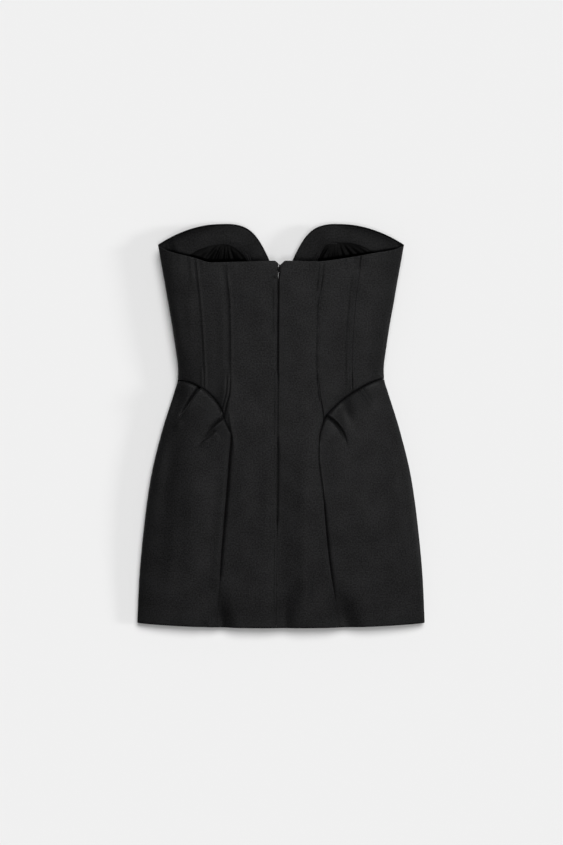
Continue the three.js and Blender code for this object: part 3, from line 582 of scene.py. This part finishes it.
def add_mesh(name, points, faces, uv=None):
    """A mesh object from points in millimetres and faces with equally many corners."""
    mesh = bpy.data.meshes.new(name)
    mesh.vertices.add(len(points))
    mesh.vertices.foreach_set("co", np.ascontiguousarray(points, np.float32).ravel() * MM)
    mesh.loops.add(faces.size)
    mesh.loops.foreach_set("vertex_index", faces.ravel().astype(np.int32))
    mesh.polygons.add(len(faces))
    mesh.polygons.foreach_set("loop_start", np.arange(0, faces.size, faces.shape[1], dtype=np.int32))
    mesh.polygons.foreach_set("use_smooth", np.full(len(faces), True))
    mesh.update(calc_edges=True)
    if uv is not None:
        layer = mesh.uv_layers.new(name="cloth")
        layer.data.foreach_set("uv", uv[faces.ravel()].astype(np.float32).ravel() * MM)
    mesh.validate()
    return link(name, mesh)


def shell(name, outer, inner, faces_down):
    """Two grids of points joined by a rim into one closed shell, with a UV map along the cloth."""
    wide, tall = outer.shape[:2]
    i, j = np.meshgrid(np.arange(wide - 1), np.arange(tall - 1), indexing="ij")
    near = (i * tall + j).ravel()
    upper = np.stack([near, near + tall, near + tall + 1, near + 1], axis=1)
    size = wide * tall
    row, column = np.arange(wide - 1) * tall, np.arange(tall - 1)
    top, side = row + tall - 1, (wide - 1) * tall + column
    faces = np.concatenate([
        upper, upper[:, ::-1] + size,
        np.stack([row, row + size, row + tall + size, row + tall], axis=1),
        np.stack([top + tall, top + tall + size, top + size, top], axis=1),
        np.stack([column + 1, column + 1 + size, column + size, column], axis=1),
        np.stack([side, side + size, side + 1 + size, side + 1], axis=1),
    ])
    if faces_down:
        faces = faces[:, ::-1]
    steps = np.linalg.norm(np.diff(outer, axis=0), axis=2)
    u = np.concatenate([np.zeros((1, tall)), np.cumsum(steps, axis=0)])
    u = u - u[wide // 2] + outer[wide // 2, :, 0]
    uv = np.stack([u, outer[..., 1]], axis=-1).reshape(-1, 2)
    points = np.concatenate([outer.reshape(-1, 3), inner.reshape(-1, 3)])
    return add_mesh(name, points, faces, np.concatenate([uv, uv]))


def cut_of(face):
    """The flat cut of a laid panel: its widest and longest runs along the cloth and its area, in metres."""
    across_steps, along_steps = np.diff(face, axis=0), np.diff(face, axis=1)
    width = np.linalg.norm(across_steps, axis=2).sum(axis=0).max()
    length = np.linalg.norm(along_steps, axis=2).sum(axis=1).max()
    area = np.linalg.norm(np.cross(across_steps[:, 1:], along_steps[1:]), axis=2).sum()
    return (width * MM, length * MM), area * MM**2


def panel(name, left, right, top, bottom, span, edges, place, step, thick=CLOTH, inside=0.0, faces_down=False,
          rows=None, relief=None):
    """One cut panel as a shell over a four-sided patch of the tube, and its flat cut.

    left and right give u at each y, top and bottom give y at each x, and edges says how each of them ends.
    A point lies outside the tube by relief - (inside + the dips towards the edges + the turn of its edge)."""
    edges = dict(zip(("left", "right", "top", "bottom"), edges))
    pucker_wave, pucker_wander, pucker_reach = 2.1, 7.3, 4

    def x_line(side):
        return lambda y: half_at(y) * np.sin(side(y) * np.pi / 2)

    middle = (span[0] + span[1]) / 2
    s = spaced(x_line(left)(middle), x_line(right)(middle), step[0])[:, None]

    def u_at(y):
        return left(y) + (right(y) - left(y)) * s

    def x_at(y):
        return half_at(y) * np.sin(u_at(y) * np.pi / 2)

    low, high = (meet(edge, x_at, *(np.full(s.shape, float(end)) for end in span)) for edge in (bottom, top))
    t = (spaced(0, np.max(high - low), step[1]) if rows is None else rows)[None, :]
    y = low + (high - low) * t
    u = u_at(y)
    x = x_at(y)
    slant = [np.hypot(1, np.gradient(edge[:, 0], x_at(edge)[:, 0]))[:, None] for edge in (high, low)]
    far = {
        "left": x - x_line(left)(y), "right": x_line(right)(y) - x,
        "top": (high - y) / slant[0], "bottom": (y - low) / slant[1],
    }
    dip, turn, lift = 0, 0, 0
    body = thick + sum(FACING * smooth_step(away, edges[side]["turned"] + 1, edges[side]["turned"] - 1)
                       for side, away in far.items() if edges[side]["turned"])
    for side, away in far.items():
        edge = edges[side]
        sink, gutter, roll = (value(y) if callable(value) else value
                              for value in (edge["sink"], edge["gutter"], edge["roll"]))
        dip = dip + sink * np.exp(-away / edge["reach"]) + gutter * np.exp(-away / edge["gutter_reach"])
        along = y if side in ("left", "right") else x
        wave = np.sin(along / pucker_wave + np.sin(along / pucker_wander) * 2)
        dip = dip + edge["pucker"] * wave * np.exp(-away / pucker_reach)
        bent = 1 - np.sqrt(np.clip(1 - (1 - np.clip(away / roll, 0, 1)) ** 2, 0, 1))
        deep = body * (FREE_TURN if edge["free"] else SEAM_TURN)
        turn = np.maximum(turn, deep * bent)
        lift = np.maximum(lift, deep * bent if edge["free"] else 0)
    out = -inside - dip + (0 if relief is None else relief(x, y))
    outer = place(u, y, out - turn)
    inner = place(u, y, out - body + lift)
    return shell(name, outer, inner, faces_down), cut_of(outer)


def grid_faces(around, along):
    """The faces between closed sections, along of them with around points each."""
    k, i = np.meshgrid(np.arange(along - 1), np.arange(around), indexing="ij")
    a = (k * around + i).ravel()
    b = (k * around + (i + 1) % around).ravel()
    return np.stack([a, b, b + around, a + around], axis=1)


def swept(path, sideways, section, scale=1.0):
    """A section carried along a path: path + scale (section_x sideways + section_y tangent x sideways). Gives
    the points, the faces between the sections and those that close the two ends."""
    tangent = np.gradient(path, axis=0)
    tangent /= np.linalg.norm(tangent, axis=1, keepdims=True)
    side = sideways - tangent * np.sum(sideways * tangent, axis=1, keepdims=True)
    side /= np.linalg.norm(side, axis=1, keepdims=True)
    up = np.cross(tangent, side)
    sized = section[None] * np.broadcast_to(scale, len(path))[:, None, None]
    rings = path[:, None] + sized[..., :1] * side[:, None] + sized[..., 1:] * up[:, None]
    points = np.concatenate([rings.reshape(-1, 3), path[:1], path[-1:]])
    count = len(section)
    ring = np.arange(count)
    following = (ring + 1) % count
    base = (len(path) - 1) * count
    caps = np.concatenate([
        np.stack([following, ring, np.full(count, len(points) - 2)], axis=1),
        np.stack([base + ring, base + following, np.full(count, len(points) - 1)], axis=1),
    ])
    return points, grid_faces(count, len(path)), caps


def circle(radius_x, radius_y, count, power=1.0):
    """A closed section: an ellipse, or with a power under 1 a rounded box."""
    turn = np.arange(count) * 2 * np.pi / count
    across_up = np.stack([np.cos(turn), np.sin(turn)], axis=1)
    return np.sign(across_up) * np.abs(across_up) ** power * (radius_x, radius_y)


def joined(name, *shapes):
    """One mesh from swept shapes, with their four-cornered and three-cornered faces."""
    all_points, all_faces, start = [], [], 0
    for points, squares, threes in shapes:
        all_points.append(points)
        all_faces += [*(squares + start).tolist(), *(threes + start).tolist()]
        start += len(points)
    mesh = bpy.data.meshes.new(name)
    mesh.from_pydata(np.concatenate(all_points) * MM, [], all_faces)
    mesh.polygons.foreach_set("use_smooth", np.full(len(mesh.polygons), True))
    mesh.validate()
    return link(name, mesh)


def dress_piece(piece, material, body="dress", node=None):
    """Gives a piece its finish and body, and hides its part of the CAD model."""
    piece.data.materials.append(material)
    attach(piece, body)
    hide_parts(node or piece.name.removeprefix("sewn_"))


def camera():
    """Straight above the dress, at the distance where one pixel of the frame is PHOTO_SCALE."""
    data = bpy.data.cameras.new("camera")
    data.sensor_width = SENSOR
    data.lens = SENSOR * (CAMERA_PLACE[2] - SEEN_HEIGHT) / (PHOTO_SCALE * PHOTO_HEIGHT)
    data.clip_end = 20
    thing = link("camera", data)
    thing.location = np.array(CAMERA_PLACE) * MM
    bpy.context.scene.camera = thing


def studio():
    """A pale floor under soft light from above, from past the neckline and from the right. The world gives
    AMBIENT light, and the camera sees it at BACKDROP."""
    corners = np.array([(-1, -1, 0), (1, -1, 0), (1, 1, 0), (-1, 1, 0)], float) * FLOOR_HALF
    floor = add_mesh("floor", corners, np.array([[0, 1, 2, 3]]))
    material, paint = finish("pale_floor", roughness=0.9, specular=0.1)
    paint.inputs["Base Color"].default_value = (*[FLOOR_COLOUR] * 3, 1)
    floor.data.materials.append(material)
    world = bpy.data.worlds.new("studio")
    world.use_nodes = True
    tree = world.node_tree
    light = tree.nodes["Background"].inputs
    light["Color"].default_value = (1, 1, 1, 1)
    seen = tree.nodes.new("ShaderNodeLightPath").outputs["Is Camera Ray"]
    tree.links.new(maths(tree, "MULTIPLY_ADD", seen, BACKDROP - AMBIENT, AMBIENT), light["Strength"])
    bpy.context.scene.world = world
    for name, strength, source, soft in SUNS:
        sun = bpy.data.lights.new(name, "SUN")
        sun.energy = strength
        sun.angle = np.radians(soft)
        link(name, sun).rotation_euler = Vector(source).to_track_quat("Z", "Y").to_euler()
    bpy.context.scene.view_settings.view_transform = "Standard"


def finish(name, roughness, specular, sheen=0.0):
    """A new material and its shader."""
    material = bpy.data.materials.new(name)
    material.use_nodes = True
    shader = material.node_tree.nodes["Principled BSDF"]
    for label, value in (("Roughness", roughness), ("Specular IOR Level", specular), ("Sheen Weight", sheen)):
        shader.inputs[label].default_value = value
    return material, shader


def maths(tree, operation, *values):
    """A Math node over sockets or numbers, and its output."""
    node = tree.nodes.new("ShaderNodeMath")
    node.operation = operation
    for socket, value in zip(node.inputs, values):
        if hasattr(value, "is_output"):
            tree.links.new(value, socket)
        else:
            socket.default_value = value
    return node.outputs[0]


def noise(tree, vector, scale, detail, roughness=0.5):
    """A noise over the vector, and its output from 0 to 1."""
    node = tree.nodes.new("ShaderNodeTexNoise")
    tree.links.new(vector, node.inputs["Vector"])
    tree.links.new(scale, node.inputs["Scale"])
    node.inputs["Detail"].default_value = detail
    node.inputs["Roughness"].default_value = roughness
    return node.outputs["Fac"]


def woven_cloth():
    """The group that the cloths share. The weave is sin(2 pi u / thread) sin(2 pi v / thread), with pebbles
    from fine noises. The colour goes from Dark to Light with the speckle and a slower noise."""
    finer_pebble, slower, weave_share, speckle_range, slow_share = 2.2, 0.06, 0.12, (0.33, 0.67), 0.8
    group = bpy.data.node_groups.new("woven_cloth", "ShaderNodeTree")
    sockets = {
        "INPUT": {"Vector": "Vector", "Thread": "Float", "Speckle": "Float", "Pebble": "Float",
                  "Dark": "Color", "Light": "Color", "Rough Low": "Float", "Rough High": "Float"},
        "OUTPUT": {"Colour": "Color", "Height": "Float", "Roughness": "Float"},
    }
    for way, kinds in sockets.items():
        for label, kind in kinds.items():
            group.interface.new_socket(label, in_out=way, socket_type="NodeSocket" + kind)
    given = group.nodes.new("NodeGroupInput").outputs
    made = group.nodes.new("NodeGroupOutput").inputs
    split = group.nodes.new("ShaderNodeSeparateXYZ")
    group.links.new(given["Vector"], split.inputs[0])
    turns = [maths(group, "MULTIPLY", split.outputs[k], 2 * np.pi) for k in (0, 1)]
    weave = maths(group, "MULTIPLY", *(maths(group, "SINE", maths(group, "DIVIDE", turn, given["Thread"]))
                                       for turn in turns))
    per_speckle = maths(group, "DIVIDE", 1.0, given["Speckle"])
    speckle = noise(group, given["Vector"], per_speckle, 2.0, 0.65)
    pebble = noise(group, given["Vector"], maths(group, "MULTIPLY", per_speckle, finer_pebble), 1.0)
    slow = noise(group, given["Vector"], maths(group, "MULTIPLY", per_speckle, slower), 2.0)
    lumps = maths(group, "ADD", *(maths(group, "SUBTRACT", part, 0.5) for part in (pebble, speckle)))
    woven_height = maths(group, "MULTIPLY", weave, weave_share)
    group.links.new(maths(group, "MULTIPLY_ADD", lumps, given["Pebble"], woven_height), made["Height"])
    spread = group.nodes.new("ShaderNodeMapRange")
    group.links.new(speckle, spread.inputs["Value"])
    spread.inputs["From Min"].default_value, spread.inputs["From Max"].default_value = speckle_range
    centred = maths(group, "SUBTRACT", slow, 0.5)
    amount = maths(group, "MULTIPLY_ADD", centred, slow_share, spread.outputs["Result"])
    mix = group.nodes.new("ShaderNodeMix")
    mix.data_type = "RGBA"
    dark_colour, light_colour, mixed_colour = mix.inputs[6], mix.inputs[7], mix.outputs[2]
    rough = group.nodes.new("ShaderNodeMapRange")
    for source, target in (
            (amount, mix.inputs["Factor"]), (given["Dark"], dark_colour), (given["Light"], light_colour),
            (mixed_colour, made["Colour"]), (amount, rough.inputs["Value"]),
            (given["Rough High"], rough.inputs["To Min"]), (given["Rough Low"], rough.inputs["To Max"]),
            (rough.outputs["Result"], made["Roughness"])):
        group.links.new(source, target)
    return group


def woven(name, group, light, specular, rough, dark, thread, speckle, relief, pebble, sheen=0.0):
    """A cloth finish on the piece's own UV map in metres of cloth. rough is for its light and dark places."""
    material, shader = finish(name, rough[1], specular, sheen)
    tree = material.node_tree
    where = tree.nodes.new("ShaderNodeUVMap")
    where.uv_map = "cloth"
    cloth = tree.nodes.new("ShaderNodeGroup")
    cloth.node_tree = group
    for label, value in (("Thread", thread), ("Speckle", speckle), ("Pebble", pebble), ("Dark", (*dark, 1)),
                         ("Light", (*light, 1)), ("Rough Low", rough[0]), ("Rough High", rough[1])):
        cloth.inputs[label].default_value = value
    bump = tree.nodes.new("ShaderNodeBump")
    bump.inputs["Strength"].default_value = 1.0
    bump.inputs["Distance"].default_value = relief
    for source, target in (
            (where.outputs["UV"], cloth.inputs["Vector"]), (cloth.outputs["Height"], bump.inputs["Height"]),
            (bump.outputs["Normal"], shader.inputs["Normal"]),
            (cloth.outputs["Colour"], shader.inputs["Base Color"]),
            (cloth.outputs["Roughness"], shader.inputs["Roughness"])):
        tree.links.new(source, target)
    return material


def enamel():
    """Black enamel on the zip's metal, half matt, and a little duller and paler in patches."""
    material, shader = finish("black_enamel", 0.4, 0.12)
    tree = material.node_tree
    where = tree.nodes.new("ShaderNodeTexCoord")
    patches = tree.nodes.new("ShaderNodeTexNoise")
    patches.inputs["Scale"].default_value = 900
    tree.links.new(where.outputs["Object"], patches.inputs["Vector"])
    for socket, low, high in (("Base Color", (0.002, 0.002, 0.002, 1), (0.006, 0.006, 0.0065, 1)),
                              ("Roughness", (0.34, 0.34, 0.34, 1), (0.46, 0.46, 0.46, 1))):
        ramp = tree.nodes.new("ShaderNodeValToRGB")
        ramp.color_ramp.elements[0].color, ramp.color_ramp.elements[1].color = low, high
        tree.links.new(patches.outputs["Fac"], ramp.inputs["Fac"])
        tree.links.new(ramp.outputs["Color"], shader.inputs[socket])
    return material


def towards(inner, outer, sign):
    """left and right of a panel whose inner edge is nearer the middle of the dress."""
    return (outer, inner) if sign < 0 else (inner, outer)


def centre_gap(y):
    """Half the gap between the halves of the back: closed below the zip, and open only round the slider."""
    closed, zipped, opened = 0.05, 0.2, 0.6
    at_slider = between(y, SLIDER_Y - 11.5, SLIDER_Y + 3.5, 1.5)
    return closed + zipped * smooth_step(y, ZIP["foot"] - 5, ZIP["foot"] + 10) + opened * at_slider


def back_half(side, sign, cloth):
    """The four panels of one half of the back."""
    princess, side_seam = line(seam_at["princess_" + side]), line(seam_at["side_" + side])
    centre = line(lambda y: centre_x(y) + sign * centre_gap(y))
    arc = hip_arc(**(ARC_LEFT if sign < 0 else ARC_RIGHT), princess=seam_at["princess_" + side])
    zip_edge, long_seam = (
        {**edge, "gutter": through(LONG_SEAMS, "y", name), "roll": through(LONG_SEAMS, "y", name + "_turn")}
        for edge, name in ((ZIP_EDGE, "centre"), (BODICE_SEAM, side)))
    zip_edge["sink"] = lambda y: 0.15 + 0.25 * between(y, -330, -30, 22)
    skirt_seam = {**long_seam, "sink": 0.3, "reach": 4, "gutter_reach": 1.5}
    finer = {"place": lambda u, y, out: on_back(u, y, out, tucked=True), "step": (1.2, 0), "rows": HIP_ROWS}
    plain = {"place": on_back, "step": (1.4, 2.8)}
    rim = fixed(sign)
    bodice = (back_neck, arc, "bodice", TURNED, WAIST_SEAM, plain)
    parts = (
        ("back_centre_", centre, princess, zip_edge, long_seam,
         back_neck, hem, "whole", TURNED, HEM_EDGE, plain),
        ("back_side_", princess, side_seam, BODICE_SEAM, BODICE_SEAM, *bodice),
        ("side_", side_seam, rim, BODICE_SEAM, SIDE_SEAM, *bodice),
        ("back_hip_", princess, rim, skirt_seam, SIDE_SEAM, arc, hem, "hip", HIP_SEAM, HEM_EDGE, finer),
    )
    for name, inner, outer, near, far, top, bottom, span, high, low, more in parts:
        piece, cut = panel("sewn_" + name + side, *towards(inner, outer, sign), top, bottom, SPANS[span],
                           (*towards(near, far, sign), high, low), **more)
        dress_piece(piece, cloth)


def front(cloth):
    """The five panels of the front, in coarser steps because most of it doesn't show."""
    seams = [line(lambda y, sign=sign: sign * front_seam(y)) for _, sign in SIDES]
    panels = [("centre", *seams, neck, front_hem, "whole", (BODICE_SEAM, BODICE_SEAM, TURNED, TURNED))]
    for (side, sign), seam in zip(SIDES, seams):
        arc = hip_arc(**{**ARC_FRONT, "sign": sign}, princess=front_seam)
        sides, ends = towards(seam, fixed(sign), sign), towards(BODICE_SEAM, SIDE_SEAM, sign)
        panels.append(("side_" + side, *sides, neck, arc, "front_side", (*ends, FREE, WAIST_SEAM)))
        panels.append(("hip_" + side, *sides, arc, front_hem, "hip", (*ends, BODICE_SEAM, TURNED)))
    for name, left, right, top, bottom, span, edges in panels:
        piece, cut = panel("sewn_front_" + name, left, right, top, bottom, SPANS[span], edges, on_front,
                           step=(3.4, 4.2), faces_down=True)
        dress_piece(piece, cloth)


def gathers(edge):
    """The lining's gathers: a wave over the angle round a point high on the cup's inner side, uneven in width
    and height, that fades in below the facing."""

    def relief(x, y):
        dx, dy = np.abs(x) - GATHERS["x"], GATHERS["y"] - y
        turn, far = np.arctan2(dx, dy), np.hypot(dx, dy)
        wander = 1.8 * np.sin(turn * 5 + np.sign(x)) + far / GATHERS["grown"]
        wave = 0.5 + 0.5 * np.sin(GATHERS["turns"] * turn + wander)
        fade = smooth_step(edge(np.abs(x)) - y, 0, 8) * smooth_step(far, GATHERS["faded"], GATHERS["grown"])
        uneven = 0.4 + 0.6 * np.sin(turn * 9 + 1) ** 2
        return -GATHERS["height"] * uneven * wave * fade * np.minimum(far / GATHERS["grown"], 1.6)

    return relief


def cup_insides(facing_cloth, lining_with_painted_shade):
    """The facing along the neckline and the gathered lining below and partly behind it, inside the front."""
    common = {"place": on_front, "inside": CLOTH + LAYER_GAP, "faces_down": True}
    for side, sign in SIDES:
        row = through(FACING_EDGE[side], "x", "y")

        def edge(x, row=row):
            return row(np.abs(x))

        def over_lining(x, y, edge=edge):
            return -(LINING + LAYER_GAP) * smooth_step(y - edge(x), 26, 4)

        sides = towards(line(lambda y, sign=sign: sign * 0.2 + 0 * y),
                        line(lambda y, sign=sign: sign * (half_at(y) - FACING_IN)), sign)
        piece, cut = panel("sewn_facing_" + side, *sides, lambda x: neck(x) - FACING_DOWN, edge,
                           SPANS["facing"], (FREE,) * 4, step=(2.4, 2.0), thick=FACING, relief=over_lining,
                           **common)
        dress_piece(piece, facing_cloth)
        sides = towards(*(line(lambda y, x=sign * x: x + 0 * y) for x in LINING_SIDES), sign)
        piece, cut = panel("sewn_lining_" + side, *sides, lambda x, edge=edge: edge(x) + LINING_UNDER,
                           fixed(LINING_FOOT), SPANS["lining"], ({**FREE, "roll": 0.5},) * 4, step=(1.4, 1.4),
                           thick=LINING, relief=gathers(edge), **common)
        dress_piece(piece, lining_with_painted_shade)


def zip_fastener(tape, metal):
    """The two tapes behind the centre-back seam, and inside them the coil, a helix of elliptic turns."""
    for side, sign in SIDES:
        sides = towards(line(lambda y, sign=sign: centre_x(y) + sign * (0.2 + centre_gap(y))),
                        line(lambda y, sign=sign: centre_x(y) + sign * ZIP["half"]), sign)
        piece, cut = panel("sewn_zip_tape_" + side, *sides, fixed(ZIP["top"]), fixed(ZIP["foot"]),
                           SPANS["whole"], ({**FREE, "roll": 0.3},) * 4, on_back, step=(1.2, 3),
                           thick=ZIP["tape"], inside=CLOTH + ZIP["behind"])
        dress_piece(piece, tape, node="zip_tape")
    foot, top = ZIP["foot"] + COIL_ENDS[0], SLIDER_Y - COIL_ENDS[1]
    y = np.linspace(foot, top, int((top - foot) / ZIP["pitch"] * COIL_STEPS))
    turn = (y - y[0]) / ZIP["pitch"] * 2 * np.pi
    depth = CLOTH + ZIP["behind"] + ZIP["tape"] + ZIP["deep"] + ZIP["thread"]
    path = on_back(across(centre_x(y), y), y, -depth)
    path[:, 0] += ZIP["wide"] * np.cos(turn)
    path[:, 2] += ZIP["deep"] * np.sin(turn)
    coil = swept(path, np.array([0, 1.0, 0]), circle(ZIP["thread"], ZIP["thread"], 5))
    dress_piece(joined("sewn_zip_coil", coil), metal, node="zip_tape")


def zip_slider(metal):
    """The slider's body behind the coil, a rounded block, and its bridge: a bar carried up, over and down."""
    low, high = (np.array(corner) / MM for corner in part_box("zip_slider"))
    middle, half = (low + high) / 2, (high - low) / 2
    end, corner, leg, block_half = 1.85, 1.1, 2, 1.0
    top, foot = high[2] - BAR / 2, low[2] + block_half
    turn = np.linspace(0, np.pi / 2, 7)
    bend = np.stack([-end + corner - corner * np.cos(turn), top - corner + corner * np.sin(turn)], axis=1)
    climb = np.concatenate([[(-end, foot), (-end, foot + leg)], bend])
    arch = np.concatenate([climb, (climb * (-1, 1))[::-1]])
    sideways = np.array([1.0, 0, 0])
    path = np.stack(np.broadcast_arrays(middle[0], middle[1] + arch[:, 0], arch[:, 1]), axis=1)
    bridge = swept(path, sideways, circle(0.5, BAR / 2, 12, 0.6))
    turn = np.linspace(0.04, np.pi - 0.04, 14)
    run = half[1] * np.sign(np.cos(turn)) * np.abs(np.cos(turn)) ** 0.5
    path = np.stack(np.broadcast_arrays(middle[0], middle[1] - run, foot), axis=1)
    block = swept(path, sideways, circle(half[0], block_half, 20, 0.5), np.sin(turn) ** 0.5)
    dress_piece(joined("sewn_zip_slider", bridge, block), metal)


def resampled(points, count):
    """The same closed outline with its points evenly spaced."""
    loop = np.concatenate([points, points[:1]])
    run = np.concatenate([[0], np.cumsum(np.hypot(*np.diff(loop, axis=0).T))])
    at = np.linspace(0, run[-1], count, endpoint=False)
    return np.stack([np.interp(at, run, loop[:, k]) for k in (0, 1)], axis=1)


def zip_tab(metal):
    """The pull tab: a ring of sections from the slot's outline to the drop-shaped outer one, with rounded
    edges and a slightly raised middle. It hangs from the pivot and leans to the left."""
    wide, bar, count = TAB["round"], TAB["bar"], 120
    slot_x, slot_y = TAB["slot_half"], TAB["slot_foot"]
    centre = wide - TAB["tip"]
    turn = np.linspace(0, np.pi, 15)[1:-1]
    right_half = np.array(
        [(0, bar), (TAB["bar_half"], bar), (TAB["shoulder"], 0), TAB["waist"], (wide, centre)])
    round_end = np.stack([wide * np.cos(turn), centre - wide * np.sin(turn)], axis=1)
    outline = resampled(np.concatenate([right_half, round_end, (right_half[1:] * (-1, 1))[::-1]]), count)
    slot = resampled(
        np.array([(0, -bar), (slot_x, -bar), (slot_x, slot_y), (-slot_x, slot_y), (-slot_x, -bar)]), count)
    away = outline - slot
    edge = TAB["edge"] / np.hypot(*away.T)
    share = TAB_SECTION["out"][None] + TAB_SECTION["edges"][None] * edge[:, None]
    flat = slot[:, None] + away[:, None] * share[..., None]
    lean = np.radians(-TAB["lean"])
    x = flat[..., 0] * np.cos(lean) - flat[..., 1] * np.sin(lean)
    y = flat[..., 0] * np.sin(lean) + flat[..., 1] * np.cos(lean)
    pivot = np.array(frame["record"]["behaviour"]["joints"][0]["pos_m"]) / MM
    points = (pivot + np.stack(np.broadcast_arrays(x, y, TAB_SECTION["height"]), axis=-1)).reshape(-1, 3)
    faces = grid_faces(len(TAB_SECTION["height"]), count + 1) % len(points)
    dress_piece(add_mesh("sewn_zip_tab", points, faces[:, ::-1]), metal, body="pull_tab")


camera()
studio()
weave = woven_cloth()
crepe = woven("black_crepe", weave, (0.0115, 0.0115, 0.012), 0.1, (0.4, 0.56), sheen=0.008, **CREPE)
facing_crepe = woven("black_crepe_facing", weave, (0.009, 0.009, 0.0095), 0.08, (0.5, 0.62), **CREPE)
# Painted shade: the lining's black satin is made far darker than the crepe so that the hollows inside the
# cups look shaded.
lining_with_painted_shade = woven("black_satin_with_painted_shade", weave, (0.0008, 0.0008, 0.0009), 0.035, (0.32, 0.4), **DARKER_SATIN_PAINTED_SHADE)
tape_cloth = woven("black_tape", weave, (0.006, 0.006, 0.006), 0.2, (0.6, 0.7), **TAPE)
enamelled = enamel()
for side, sign in SIDES:
    back_half(side, sign, crepe)
front(crepe)
cup_insides(facing_crepe, lining_with_painted_shade)
zip_fastener(tape_cloth, enamelled)
zip_slider(enamelled)
zip_tab(enamelled)
